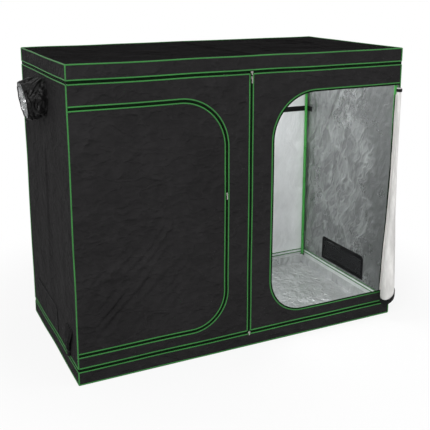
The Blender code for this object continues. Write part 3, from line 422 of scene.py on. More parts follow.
def ribbed(name, shade, pitch=0.0021):
    """Polypropylene webbing: ribs across it and a broken weave along it."""
    material, place = new_material(name)
    cloth = along_cloth(place)
    ribs = cloth.part(1).sine(pitch)
    picks = cloth.part(0).sine(pitch * 0.8) * cloth.part(1).sine(pitch * 2)
    fuzz = cloud(place, 80.0)
    return finish_with(
        material, fuzz.between(0.35, 0.75).tones(shade, 0.7, 1.7), 0.66 + (fuzz - 0.5) * 0.2,
        [(ribs + picks * 0.5, 0.0005, 0.8)], Specular_IOR_Level=0.12, Sheen_Weight=0.02,
    )


def netting(name, shade):
    """Insect net: open squares between thin threads."""
    material, place = new_material(name)
    cloth = along_cloth(place)
    warp, weft = cloth.part(0).sine(0.0048).size(), cloth.part(1).sine(0.0048).size()
    thread = (warp < 0.45).most(weft < 0.45)
    dust = cloud(place, 20.0)
    return finish_with(
        material, dust.between(0.3, 0.8).tones(shade, 0.7, 2.0), 0.8 + (dust - 0.5) * 0.1,
        [(warp + weft, 0.0003, 0.5)], Specular_IOR_Level=0.2, Alpha=0.30 + thread * 0.70,
    )


def enamel(name, shade, rough):
    """Baked enamel on steel tube: a fine skin, scuffs and dulled patches."""
    material, place = new_material(name)
    scuffs = cloud(place, 26.0, 6.0, 0.7, "RIDGED_MULTIFRACTAL")
    patches = cloud(place, 8.0, 5.0)
    base = patches.between(0.3, 0.7).tones(shade, 0.9, 1.1)
    base = (scuffs.between(1.1, 1.6) * 0.35).mix(base, tone(shade, 0.55))
    return finish_with(
        material, base, rough + (patches - 0.5) * 0.16 + scuffs.between(0.9, 1.5) * 0.15,
        [(cloud(place, 210.0, 2.0), 0.0002, 0.25), (scuffs, 0.0002, 0.2)],
        Specular_IOR_Level=0.5, Coat_Weight=0.25, Coat_Roughness=0.2,
    )


def moulded(name, shade):
    """Moulded plastic with a fine spark grain."""
    material, place = new_material(name)
    scuffs = cloud(place, 40.0, 6.0, 0.65)
    base = scuffs.between(0.45, 0.8).tones(shade, 0.9, 2.0)
    bumps = [(cloud(place, 900.0, 2.0), 0.00015, 0.4), (scuffs, 0.0003, 0.2)]
    return finish_with(material, base, 0.5 + (scuffs - 0.5) * 0.22, bumps, Specular_IOR_Level=0.45)


def plated(name, shade):
    """Nickel plate on a cast slider: brushed, with dull tarnish in patches."""
    material, place = new_material(name)
    brushed = cloud(place.times(900.0, 900.0, 60.0), 1.0, 3.0)
    tarnish = cloud(place, 160.0, 5.0)
    base = tarnish.between(0.45, 0.75).tones(shade, 1.0, 0.55)
    rough = 0.24 + tarnish.between(0.4, 0.8) * 0.3
    return finish_with(material, base, rough, [(brushed, 0.0001, 0.3)], Metallic=1.0)


def braided(name, shade):
    """Round braid: strands that cross on the slant, painted darker between them as painted shade and lighter
    on them as painted highlight.
    """
    material, place = new_material(name)
    x, y, z = place.part(0), place.part(1), place.part(2)
    strands = (z + (x + y) * 0.8).sine(0.0016) * (z - (x + y) * 0.8).sine(0.0016)
    # Painted shade and highlight: darker between the strands and lighter on them.
    base = strands.between(-0.6, 0.8).tones(shade, 0.5, 1.8)
    rough = 0.8 + strands * 0.05
    return finish_with(material, base, rough, [(strands, 0.0004, 0.8)], Specular_IOR_Level=0.25)


FINISHES = {}


def make_finishes():
    sizes, shades = bpy.context.scene.tent_sizes, bpy.context.scene.tent_colours
    FINISHES.update(
        shell=woven("shell canvas", shades.shell, 0.72, sizes.weave, 0.03),
        # Painted shade: the roof is the shell's cloth, made darker still by this tone.
        roof=woven("roof canvas with painted shade", tone(shades.roof, 0.55), 0.60, sizes.weave, 0.0008),
        # These linings are lit and shaded copies of the one silver film: the crinkled right wall darker as
        # painted shade, the smooth walls, floor and sleeve lighter as painted light.
        lining=foil("crinkled lining", shades.silver, 0.26, 0.70, 0.9, 0.75, -0.42),
        soft_lining=foil("smooth lining", tone(shades.lining, 1.18), 0.42, 0.12, 0.22, 0.12),
        floor_foil=foil("floor lining", tone(shades.silver, 1.7), 0.28, 0.50, 1.0, 0.28),
        sleeve_lining=foil("sleeve lining", tone(shades.lining, 0.8), 0.22, 0.45, 1.2, 0.8),
        port=woven("port cloth", tone(shades.shell, 0.55), 0.60, sizes.weave * 0.8, 0.03, 0.3),
        sleeve=woven("sleeve cloth", tone(shades.shell, 0.26), 0.34, sizes.weave * 0.8, 0.14, 0.35),
        # The rolled door's silver lining as a pale satin white: painted reflection of the bright
        # surroundings.
        rolled=satin("rolled lining", shades.rolled_lining),
        piping=bias_tape("green bias tape", shades.piping),
        tape=herringbone("zip tape", shades.tape),
        coil=coiled_teeth("zip coil", shades.coil),
        webbing=ribbed("webbing", shades.webbing),
        net=netting("insect net", shades.net),
        tube=enamel("green enamel", shades.tube, 0.28),
        bar=enamel("white enamel", shades.bar, 0.26),
        plastic=moulded("moulded plastic", shades.plastic),
        metal=plated("plated metal", shades.metal),
        cord=braided("cord braid", shades.cord),
    )


# Modelling


def deselect():
    if bpy.context.mode != "OBJECT":
        bpy.ops.object.mode_set(mode="OBJECT")
    bpy.ops.object.select_all(action="DESELECT")


def choose(piece):
    """Makes a piece the only one selected, and the active one."""
    deselect()
    piece.select_set(True)
    bpy.context.view_layer.objects.active = piece


@contextmanager
def editing(piece):
    """Edit mode on one piece, all of it selected."""
    choose(piece)
    bpy.ops.object.mode_set(mode="EDIT")
    bpy.ops.mesh.select_all(action="SELECT")
    yield
    bpy.ops.object.mode_set(mode="OBJECT")


def face_out():
    """In edit mode: turns all faces to the outside."""
    bpy.ops.mesh.select_all(action="SELECT")
    bpy.ops.mesh.normals_make_consistent(inside=False)


def read(items, name, width=1, kind=float):
    """One attribute of all items, a row for each."""
    flat = np.empty(len(items) * width, kind)
    items.foreach_get(name, flat)
    return flat.reshape(-1, width)


def points_of(piece):
    return read(piece.data.vertices, "co", 3)


def place_points(piece, points):
    piece.data.vertices.foreach_set("co", np.ascontiguousarray(points, float).ravel())
    piece.data.update()


def start_piece(kind, name, **options):
    """A new primitive, alone in the selection."""
    deselect()
    getattr(bpy.ops.mesh, f"primitive_{kind}_add")(**options)
    piece = bpy.context.object
    piece.name = piece.data.name = name
    return piece


def apply_place(piece):
    """Moves a piece's place, turn and size into its mesh."""
    choose(piece)
    bpy.ops.object.transform_apply(location=True, rotation=True, scale=True)


def boxed(name, size, centre):
    """A cube drawn out to a size, about a centre."""
    piece = start_piece("cube", name, size=1)
    with editing(piece):
        bpy.ops.transform.resize(value=tuple(size))
        bpy.ops.transform.translate(value=tuple(centre))
    return piece


def add_modifier(piece, kind, **settings):
    """Adds a modifier and applies it."""
    choose(piece)
    modifier = piece.modifiers.new(kind.lower(), kind)
    for name, value in settings.items():
        setattr(modifier, name, value)
    bpy.ops.object.modifier_apply(modifier=modifier.name)
    return piece


def cut(piece, cutter, operation="DIFFERENCE"):
    """Cuts a piece with another, which is removed."""
    add_modifier(piece, "BOOLEAN", operation=operation, object=cutter, solver="EXACT")
    bpy.data.objects.remove(cutter)
    return piece


def lay_grid(name, columns, rows, place, width, length):
    """A grid whose points place(u, v) puts where they belong. Its UV map is in metres."""
    piece = start_piece("grid", name, x_subdivisions=columns, y_subdivisions=rows, size=1)
    flat = points_of(piece)
    place_points(piece, place(flat[:, 0] + 0.5, flat[:, 1] + 0.5))
    layer = piece.data.uv_layers[0]
    layer.name = "UVMap"
    layer.data.foreach_set("uv", (read(layer.data, "uv", 2) * (width, length)).ravel())
    return piece


def join_seam(piece, fill=False):
    """Welds the points that meet, closes the ends if asked, and turns the faces out."""
    with editing(piece):
        bpy.ops.mesh.remove_doubles(threshold=0.00001)
        if fill:
            bpy.ops.mesh.select_all(action="SELECT")
            bpy.ops.mesh.fill_holes(sides=0)
        face_out()
    return piece


def turn_over(piece):
    with editing(piece):
        bpy.ops.mesh.flip_normals()


def face_away(piece, middle):
    """Turns an open surface so that its faces look away from a point."""
    if sum((f.center - Vector(middle)).dot(f.normal) for f in piece.data.polygons) < 0:
        turn_over(piece)
    return piece


def put_finishes(piece, *names):
    for name in names:
        piece.data.materials.append(FINISHES[name])


def thicken(piece, thickness):
    """Gives a surface its thickness inwards. The inner face of a lined piece takes the next finish."""
    lined = len(piece.data.materials) > 1
    return add_modifier(
        piece, "SOLIDIFY", thickness=thickness, offset=-1, use_even_offset=True, material_offset=int(lined)
    )


def lay_cloth(name, cells, place, size, middle, finishes, thickness, joined=False):
    """Cloth laid by place(u, v), its outside away from middle, with its finishes and its thickness."""
    piece = lay_grid(name, *cells, place, *size)
    if joined:
        join_seam(piece)
    face_away(piece, middle)
    put_finishes(piece, *finishes)
    return thicken(piece, thickness)


def dress(piece, body, node, finish=None, angle=38):
    """Smooths a finished piece, gives it its material and its body, and hides the CAD node that it stands
    for.
    """
    if angle:
        choose(piece)
        bpy.ops.object.shade_smooth_by_angle(angle=math.radians(angle))
    if finish:
        put_finishes(piece, finish)
    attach(piece, body)
    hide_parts(node)
    return piece


# Cloth shapes


def ripple(a, b, wavelength, seed, waves=16):
    """Smooth chance waves over two coordinates, about -1 to 1, the same in every run."""
    chance = np.random.default_rng(seed)
    total = np.zeros(np.shape(a))
    for _ in range(waves):
        heading, phase = chance.uniform(0, 2 * np.pi, 2)
        pace = 2 * np.pi / (wavelength * chance.uniform(0.7, 1.7))
        total += np.cos(pace * (a * np.cos(heading) + b * np.sin(heading)) + phase)
    return total / math.sqrt(waves)


def creases(a, b, wavelength, seed, sharpness=0.22):
    """Narrow ridges that wander over two coordinates, from 0 to 1."""
    return np.exp(-((ripple(a, b, wavelength, seed) / sharpness) ** 2))


def line_fold(across, width):
    """A single narrow ridge where across is 0."""
    return np.exp(-((across / width) ** 2))


def fade(distance, reach):
    """0 at a seam, 1 from reach away."""
    t = np.clip(distance / reach, 0, 1)
    return t * t * (3 - 2 * t)


def rows_of(*columns):
    return np.stack(columns, axis=1)


def wander(points):
    """Where sewn cloth and its seams come to lie: a small drift that depends on place alone."""
    x, y, z = points.T
    shift = rows_of(
        ripple(y + z, x * 0.3, 0.55, 11) * 0.9,
        ripple(x, z, 0.8, 12) * 0.35,
        ripple(x + y, z * 0.3, 0.6, 13) * 1.2,
    )
    return points + bpy.context.scene.tent_sizes.drift * shift


def off_rim(u, v, width, height):
    """The distance to the nearest edge of a sheet that u and v run across."""
    return np.minimum(np.minimum(u, 1 - u) * width, np.minimum(v, 1 - v) * height)


def off_ends(z):
    """The distance to the nearer of a wall's upper and lower edges."""
    return np.minimum(z - WALL_BOTTOM, WALL_TOP - z)


def distance_to_path(path, a, b):
    """The distance from each point to a path of straight pieces."""
    best = np.full(a.shape, 9.0)
    for (x0, y0), (x1, y1) in zip(path, path[1:]):
        dx, dy = x1 - x0, y1 - y0
        t = np.clip(((a - x0) * dx + (b - y0) * dy) / (dx * dx + dy * dy + 1e-12), 0, 1)
        best = np.minimum(best, np.hypot(a - x0 - t * dx, b - y0 - t * dy))
    return best


def arc(x, y, radius, start, end, steps):
    angles = np.linspace(start, end, steps + 1)
    return [(x + radius * math.cos(a), y + radius * math.sin(a)) for a in angles]


def door_path(side, offset=0.0, steps=24):
    """The D of a door zip, moved outwards by offset, from the corner round to the corner."""
    quarter = math.pi / 2
    top = (DOOR_EDGE + DOOR_TOP_TURN, DOOR_TOP - DOOR_TOP_TURN)
    bottom = (DOOR_EDGE + DOOR_BOTTOM_TURN, DOOR_BOTTOM + DOOR_BOTTOM_TURN)
    points = [(LEAF_EDGE, DOOR_TOP + offset)]
    points += arc(*top, DOOR_TOP_TURN + offset, quarter, 2 * quarter, steps)
    points += arc(*bottom, DOOR_BOTTOM_TURN + offset, 2 * quarter, 3 * quarter, steps)
    points.append((LEAF_EDGE, DOOR_BOTTOM - offset))
    path = [(side * x, z) for x, z in points]
    return path if side > 0 else path[::-1]


def on_front(points, depth):
    """Points of the front's plane, put at a depth and closely spaced."""
    return fine_path([(x, depth, z) for x, z in points])


def fine_path(points, step=0.03, closed=False):
    """The path with points added, so that none are further apart than step."""
    points = [np.array(p, float) for p in points]
    path = []
    ends = points[1:] + points[:1] if closed else points[1:]
    for start, end in zip(points, ends):
        count = max(1, math.ceil(np.linalg.norm(end - start) / step))
        path += [start + (end - start) * i / count for i in range(count)]
    return np.array(path if closed else path + [points[-1]])


def rounded(points, radius, closed=False, steps=4):
    """The path with its corners turned on a radius."""
    points = [np.array(p, float) for p in points]
    count, path = len(points), []
    for i, corner in enumerate(points):
        if not closed and i in (0, count - 1):
            path.append(corner)
            continue
        back, ahead = points[i - 1] - corner, points[(i + 1) % count] - corner
        back, ahead = back / np.linalg.norm(back) * radius, ahead / np.linalg.norm(ahead) * radius
        centre = corner + back + ahead
        for j in range(steps + 1):
            t = math.pi / 2 * j / steps
            path.append(centre - ahead * math.cos(t) - back * math.sin(t))
    return path


def level_loop(half_x, half_y, height):
    """A path round the tent, anticlockwise from above."""
    corners = [(half_x, -half_y), (half_x, half_y), (-half_x, half_y), (-half_x, -half_y)]
    points = rounded([(x, y, height) for x, y in corners], TURN, True)
    return fine_path(points, closed=True)


def unit_rows(rows):
    return rows / np.linalg.norm(rows, axis=1)[:, None]


def sweep(name, path, up, profile, closed=False):
    """Carries a profile of (out, up) points along a path that lies in a plane square to up."""
    path, up = np.array(path, float), np.array(up, float)
    before, after = np.roll(path, 1, 0), np.roll(path, -1, 0)
    if not closed:
        before[0], after[-1] = 2 * path[0] - path[1], 2 * path[-1] - path[-2]
    back = unit_rows(path - before)
    along = unit_rows(back + unit_rows(after - path))
    out = unit_rows(np.cross(along, up))
    miter = 1 / np.clip(np.einsum("ij,ij->i", back, along), 0.6, 1)
    profile = np.array(profile, float)
    rows, columns = len(path) if closed else len(path) - 1, len(profile)

    def place(u, v):
        i, j = np.rint(u * columns).astype(int) % columns, np.rint(v * rows).astype(int) % len(path)
        spread = (miter[j] * profile[i, 0])[:, None] * out[j]
        return wander(path[j] + spread + profile[i, 1][:, None] * up)

    girth = np.linalg.norm(profile - np.roll(profile, 1, 0), axis=1).sum()
    length = np.linalg.norm(path - before, axis=1)[0 if closed else 1 :].sum()
    return join_seam(lay_grid(name, columns, rows, place, girth, length), fill=not closed)


# The slot of each kind of trim, and the angle to which its faces are smoothed
TRIMS = {
    "piping": ("green_tube", 60),
    "tape": ("black_cloth", 50),
    "coil": ("black_plastic", 60),
    "webbing": ("black_webbing", 50),
}


def trim(name, kind, path, up, profile, body, node, closed=False):
    """Piping, zip tape, zip coil or webbing: a profile carried along a path."""
    slot, angle = TRIMS[kind]
    return dress(sweep(name, path, up, profile, closed), body, node, kind, angle)


def round_profile(radius, sides):
    angles = np.arange(sides) * 2 * math.pi / sides + math.pi / sides
    return [(radius * math.cos(a), radius * math.sin(a)) for a in angles]


def tape_profile(low, high, thickness):
    """A flat tape from low to high across its path, with its edges eased."""
    ease = thickness * 0.4
    return [
        (low, 0.0), (high, 0.0), (high, thickness - ease), (high - ease, thickness), (low + ease, thickness),
        (low, thickness - ease),
    ]


def lay_box_map(piece):
    """A UV map in metres, from the two coordinates that each face lies along."""
    layer = piece.data.uv_layers[0]
    layer.name = "UVMap"
    corners = points_of(piece)[read(piece.data.loops, "vertex_index", kind=int)[:, 0]]
    normals = read(piece.data.polygons, "normal", 3)
    totals = read(piece.data.polygons, "loop_total", kind=int)[:, 0]
    facing = np.repeat(np.abs(normals).argmax(1), totals)
    first = np.where(facing == 0, corners[:, 1], corners[:, 0])
    second = np.where(facing == 2, corners[:, 1], corners[:, 2])
    layer.data.foreach_set("uv", rows_of(first, second).ravel())


def turned_border(name, cells, half_x, half_y, level, edge, steps, middle):
    """A flat sheet whose border is drawn up or down from its level to an edge, facing away from middle."""
    piece = start_piece("grid", name, x_subdivisions=cells[0], y_subdivisions=cells[1], size=1)
    with editing(piece):
        bpy.ops.transform.resize(value=(2 * half_x, 2 * half_y, 1))
        bpy.ops.transform.translate(value=(0, 0, level))
        bpy.ops.mesh.region_to_loop()
        for _ in range(steps):
            bpy.ops.mesh.extrude_region_move(TRANSFORM_OT_translate={"value": (0, 0, (edge - level) / steps)})
        face_out()
    face_away(piece, middle)
    lay_box_map(piece)
    return piece


def push_border(x, y, half_x, half_y, push):
    """The x and y of a sheet's points, with those on its border moved outwards by push."""
    out_x = np.where(np.abs(x) > half_x - 1e-4, np.sign(x), 0)
    out_y = np.where(np.abs(y) > half_y - 1e-4, np.sign(y), 0)
    return x + push * out_x, y + push * out_y


# Pieces


class TENT_OT_stage(bpy.types.Operator):
    """Camera, lamps, floor and sky"""

    bl_idname = "tent.stage"
    bl_label = "Stage"

    def execute(self, context):
        stage = context.scene.tent_stage
        deselect()
        bpy.ops.object.camera_add(
            location=stage.camera_place, rotation=(math.pi / 2 - stage.camera_pitch, 0, -stage.camera_yaw)
        )
        camera = context.object
        camera.data.lens, camera.data.shift_y = stage.lens, stage.shift
        camera.data.sensor_width = 36
        camera.data.clip_end = 200
        context.scene.camera = camera
        for name, place, target, size, power in (
            ("key", (-3.2, -4.6, 4.6), (-0.2, -0.4, 1.0), 3.2, stage.key),
            ("fill", (4.2, -3.6, 2.6), (0.2, 0.0, 1.0), 3.0, stage.fill),
            ("inside", (0.35, 0.0, 1.93), (0.35, 0.0, 0.0), 1.0, stage.inside),
        ):
            aim = (Vector(target) - Vector(place)).to_track_quat("-Z", "Y").to_euler()
            deselect()
            bpy.ops.object.light_add(type="AREA", location=place, rotation=aim)
            context.object.name = name
            context.object.data.size, context.object.data.energy = size, power
        self.lay_floor(stage)
        self.light_sky(context.scene, stage)
        context.scene.view_settings.view_transform = "Standard"
        return {"FINISHED"}

    def lay_floor(self, stage):
        """A pale floor that turns white away from the tent."""
        floor = start_piece(
            "circle", "floor", vertices=96, radius=40, fill_type="NGON", location=(0, 0, -0.0005)
        )
        material, place = new_material("studio floor")
        base = cloud(place, 3.0, 3.0).mix(tone(stage.floor, 0.985), stage.floor)
        finish_with(material, base, 0.9, [], Specular_IOR_Level=0.1)
        seen = place.node("ShaderNodeLightPath", {}, {}, "Is Camera Ray")
        away = place.node("ShaderNodeVectorMath", {"operation": "LENGTH"}, {0: place}, "Value")
        white = 0.86 + away.between(1.4, 2.6) * 0.14
        glow = place.node("ShaderNodeEmission", {}, {"Color": (1, 1, 1, 1), "Strength": 1.0})
        nodes = material.node_tree.nodes
        matt = Wire(material.node_tree, nodes["Principled BSDF"].outputs[0])
        lit = place.node("ShaderNodeMixShader", {}, {0: seen * white, 1: matt, 2: glow})
        feed(nodes["Material Output"], {"Surface": lit})
        floor.data.materials.append(material)

    def light_sky(self, scene, stage):
        """Soft light all round, which shows as white."""
        scene.world = bpy.data.worlds.new("studio")
        scene.world.use_nodes = True
        start = Wire(scene.world.node_tree)
        seen = start.node("ShaderNodeLightPath", {}, {}, "Is Camera Ray")
        mirrored = start.node("ShaderNodeLightPath", {}, {}, "Is Glossy Ray")
        through = start.node("ShaderNodeLightPath", {}, {}, "Is Transmission Ray")
        shown = seen.most(mirrored).most(through)
        strength = stage.sky + shown * (1.0 - stage.sky)
        feed(scene.world.node_tree.nodes["Background"], {"Color": (1, 1, 1, 1), "Strength": strength})


def sleeve_surface(u, v, crumpled=1.0):
    """The duct sleeve: u goes round it, v from the wall to its mouth."""
    angle, share = 2 * np.pi * u, v
    tilt = DUCT_TILT * share
    radius = ROOT_RADIUS + (MOUTH_RADIUS - ROOT_RADIUS) * share + 0.006 * np.sin(np.pi * share)
    gathers = np.cos(12 * angle + np.sin(2 * angle + np.pi * share))
    cx, cy = np.cos(angle), np.sin(angle)
    crush = ripple(cx * 0.13 + share * 0.07, cy * 0.13 - share * 0.09, 0.060, 31)
    dents = creases(cx * 0.12 + share * 0.13, cy * 0.12 + share * 0.06, 0.05, 32, 0.30)
    middle = np.clip(share * 4, 0, 1) * np.clip((1 - share) * 6, 0, 1)
    reach = radius + 0.0045 * share * gathers + crumpled * middle * (0.0050 * crush - 0.009 * dents + 0.003)
    y, z = reach * cx, reach * cy
    return DUCT_ROOT + DUCT_WAY * share[:, None] + rows_of(-z * np.sin(tilt), y, z * np.cos(tilt))


class TENT_OT_drawcord(bpy.types.Operator):
    """Two ends of the sleeve's drawcord, crossed in their toggle"""

    bl_idname = "tent.drawcord"
    bl_label = "Drawcord"

    def execute(self, context):
        spots, radius = 48, 0.0016
        hem = sleeve_surface(np.arange(spots) / spots, np.ones(spots), 0.0)
        lowest = int(np.argmin(hem[:, 2]))
        below = np.array([0, 0, 0.0019])
        middle = hem[lowest] - below
        crossing = middle - (0, 0, 0.017)
        toggle = start_piece(
            "cylinder", "drawcord_toggle", vertices=20, radius=0.0055, depth=0.013, location=crossing
        )
        with editing(toggle):
            bpy.ops.mesh.bevel(offset=0.0012, segments=3)
        apply_place(toggle)
        dress(toggle, "tent", "duct_drawcord", "plastic")
        for side, name in ((-1, "back"), (1, "front")):
            start = hem[(lowest + side) % spots] - below
            tip = middle + (0, (middle[1] - start[1]) * 0.9, -0.034)
            route = np.array(
                [start, start - (0, 0, 0.004), crossing + (0, 0, 0.004), crossing - (0, 0, 0.005), tip]
            )
            end = self.hang(f"drawcord_{name}", route, np.array([0.0035 * side, 0, 0]), radius)
            dress(end, "tent", "duct_drawcord", "cord", None)
            knot = start_piece(
                "torus", f"drawcord_knot_{name}", major_radius=0.0022, minor_radius=radius, major_segments=18,
                minor_segments=10, location=tip,
            )
            apply_place(knot)
            dress(knot, "tent", "duct_drawcord", "cord")
        return {"FINISHED"}

    def hang(self, name, route, swing, radius):
        """A cord along a route, bowed sideways by swing at its middle."""
        deselect()
        bpy.ops.curve.primitive_nurbs_path_add()
        cord = bpy.context.object
        cord.name = name
        bpy.ops.object.mode_set(mode="EDIT")
        bpy.ops.curve.select_all(action="SELECT")
        bpy.ops.curve.subdivide(number_cuts=3)
        bpy.ops.object.mode_set(mode="OBJECT")
        spline = cord.data.splines[0]
        last = len(spline.points) - 1
        for i, point in enumerate(spline.points):
            share = i / last * (len(route) - 1)
            k = min(int(share), len(route) - 2)
            place = route[k] + (route[k + 1] - route[k]) * (share - k) + swing * math.sin(math.pi * i / last)
            point.co = (*place, 1)
        spline.order_u, spline.use_endpoint_u = 4, True
        cord.data.bevel_depth, cord.data.bevel_resolution, cord.data.use_fill_caps = radius, 3, True
        cord.data.resolution_u = 6
        return cord


class TENT_OT_roof(bpy.types.Operator):
    """Roof cloth with the band below it"""

    bl_idname = "tent.roof"
    bl_label = "Roof"

    def execute(self, context):
        sizes = context.scene.tent_sizes
        cells = round(2.4 / sizes.cell), round(1.2 / sizes.cell)
        roof = turned_border("roof_cloth", cells, COVER_X, COVER_Y, COVER_TOP, CAP_BOTTOM, 6, (0, 0, 1.5))
        x, y, z = points_of(roof).T
        level = z > COVER_TOP - 0.0005
        lift = np.where(level, np.clip(self.folds(x, y, sizes.roof_sag), -0.0085, 0.0085), 0)
        band = fade(z - CAP_BOTTOM - 0.016, 0.03) * fade(COVER_TOP - z, 0.03)
        waves = 0.0011 * ripple(x + y, z, 0.16, 43) + 0.0010 * creases(x + y, z * 1.5, 0.2, 44)
        out_x, out_y = push_border(x, y, COVER_X, COVER_Y, ~level * band * waves)
        place_points(roof, wander(rows_of(out_x, out_y, z + lift)))
        put_finishes(roof, "roof", "soft_lining", "shell", "soft_lining")
        # The faces that look up take the darker roof finish, painted shade on the tent's top; the band round
        # it takes the shell finish.
        for face in roof.data.polygons:
            face.material_index = 0 if face.normal.z > 0.5 else 2
        thicken(roof, sizes.cloth_thickness)
        dress(roof, "tent", "roof_cap")
        return {"FINISHED"}

    def folds(self, x, y, sag):
        """Height of the roof: two slack bays, wandering ridges, the middle beam, a double fold and a dent."""
        edge = np.minimum(COVER_X - np.abs(x), COVER_Y - np.abs(y))
        height = 0.0022 * creases(x, y * 2.2, 0.75, 41, 0.16) * fade(edge - 0.02, 0.10)
        height += 0.0080 * line_fold(x - 0.015 + 0.010 * np.sin(5 * y), 0.022) * fade(edge, 0.06)
        along = y + 0.14
        for middle, width, rise in ((0.385, 0.030, -0.0070), (0.325, 0.022, 0.0070)):
            height += rise * line_fold(x - middle - 0.18 * along, width) * fade(0.34 - np.abs(along), 0.12)
        dent = np.hypot((x - 0.83 + 0.10 * (y - 0.2)) / 0.055, (y - 0.20) / 0.14)
        height -= 0.0080 * np.exp(-(dent**2)) - 0.0050 * np.exp(-(((dent - 1.5) / 0.4) ** 2))
        height += 0.0008 * ripple(x, y, 0.24, 42) * fade(edge - 0.02, 0.15)
        return height - sag * fade(np.abs(x) - 0.02, 0.30) * fade(edge - 0.03, 0.22)


class TENT_OT_skirt(bpy.types.Operator):
    """Ground sheet with the band above it"""

    bl_idname = "tent.skirt"
    bl_label = "Ground sheet"

    def execute(self, context):
        sheet = turned_border("ground_sheet", (96, 48), COVER_X, COVER_Y, 0, SKIRT_TOP, 6, (0, 0, 0.5))
        x, y, z = points_of(sheet).T
        band = fade(z, 0.03) * fade(SKIRT_TOP - z - 0.016, 0.03)
        waves = 0.0010 * ripple(x + y, z, 0.18, 51) + 0.0009 * creases(x + y, z * 1.5, 0.2, 52)
        points = wander(rows_of(*push_border(x, y, COVER_X, COVER_Y, band * waves), z))
        points[:, 2] = np.where(z < 0.001, 0.0, points[:, 2])
        place_points(sheet, points)
        put_finishes(sheet, "shell", "soft_lining")
        thicken(sheet, context.scene.tent_sizes.cloth_thickness)
        dress(sheet, "tent", "base_skirt")
        return {"FINISHED"}


def vent_hole(side, middle):
    """A block with its two upper edges rounded, to cut a vent's hole through a side wall."""
    corner, segments = 0.012, 8
    wide, tall = 2 * (VENT_HALF - VENT_HOLE_INSET), VENT_TALL - 2 * VENT_HOLE_INSET
    size, centre = (0.10, wide, tall), (side * 1.20, middle, (VENT_BOTTOM + VENT_TOP) / 2)
    block = boxed("vent_hole", size, centre)
    for item in (*block.data.vertices, *block.data.edges, *block.data.polygons):
        item.select = False
    for edge in block.data.edges:
        ends = [block.data.vertices[i] for i in edge.vertices]
        upper = all(end.co.z > centre[2] for end in ends)
        if upper and abs(ends[0].co.x - ends[1].co.x) > size[0] / 2:
            for item in (edge, *ends):
                item.select = True
    choose(block)
    bpy.ops.object.mode_set(mode="EDIT")
    bpy.ops.mesh.select_mode(type="EDGE")
    bpy.ops.mesh.bevel(offset=corner, segments=segments)
    bpy.ops.object.mode_set(mode="OBJECT")
    return block


class TENT_OT_side_walls(bpy.types.Operator):
    """Left wall with its duct hole, and right wall, with their vent holes"""

    bl_idname = "tent.side_walls"
    bl_label = "Side walls"

    def execute(self, context):
        cell, thickness = context.scene.tent_sizes.cell, context.scene.tent_sizes.cloth_thickness
        cells = round(2 * PIPING_Y / cell), round(WALL_HEIGHT / cell)
        for side, name, folds, vent, lining in (
            (-1, "left", self.left_folds, LEFT_VENT, "soft_lining"),
            (1, "right", self.right_folds, RIGHT_VENT, "lining"),
        ):

            def place(u, v):
                y, z = -PIPING_Y + 2 * PIPING_Y * u, WALL_BOTTOM + WALL_HEIGHT * v
                return wander(rows_of(side * (COVER_X + folds(y, z, vent, context.scene.tent_sizes)), y, z))

            wall = lay_cloth(f"wall_{name}_cloth", cells, place, (2 * PIPING_Y, WALL_HEIGHT), (0, 0, 1),
                             ("shell", lining), thickness)
            cut(wall, vent_hole(side, vent))
            if side < 0:
                duct = start_piece("cylinder", "duct_hole", vertices=64, radius=DUCT_HOLE, depth=0.1,
                                   location=(-1.2, DUCT_Y, DUCT_Z), rotation=(0, math.pi / 2, 0))
                cut(wall, duct)
            dress(wall, "tent", f"wall_{name}")
        return {"FINISHED"}

    def calm(self, y, z, middle):
        """0 on a vent and its frame, rising to 1 outside."""
        dy = np.abs(y - middle) - VENT_HALF - 0.01
        dz = np.maximum(VENT_BOTTOM - 0.01 - z, z - VENT_TOP - 0.01)
        return fade(np.maximum(np.maximum(dy, dz), 0), 0.05)

    def off_seams(self, y, z):
        return fade(np.minimum(PIPING_Y - np.abs(y), off_ends(z)), 0.06)

    def left_folds(self, y, z, vent, sizes):
        soft = sizes.fold_depth * 0.9 * ripple(y * 2.4, z * 0.5, 0.45, 61)
        crease = sizes.crease_depth * creases(y * 1.5, z * 0.4, 0.42, 62, 0.2)
        upright = 0.0045 * line_fold(y - 0.020, 0.014) - 0.0060 * line_fold(y + 0.012, 0.014)
        upright *= fade(z - 0.72, 0.2) * fade(1.48 - z, 0.2)
        calm = self.calm(y, z, vent) * fade(np.hypot(y - DUCT_Y, z - DUCT_Z) - 0.118, 0.05)
        port = 1 - fade(np.maximum(np.abs(y - PORT_Y) - 0.09, np.abs(z - 0.22) - 0.11), 0.05)
        return (soft + crease + upright) * self.off_seams(y, z) * calm * (1 - port * 0.9)

    def right_folds(self, y, z, vent, sizes):
        facets = sizes.crinkle_depth * (creases(y, z * 0.8, 0.16, 71, 0.3) - 0.4)
        facets += 0.5 * sizes.crinkle_depth * ripple(y * 1.6 + z * 0.4, z * 0.9, 0.11, 72)
        soft = 1.4 * sizes.fold_depth * ripple(y * 1.8 - z * 0.5, z * 0.6, 0.5, 73)
        return np.clip((facets + soft) * self.off_seams(y, z) * self.calm(y, z, vent), -0.0034, 0.0036)


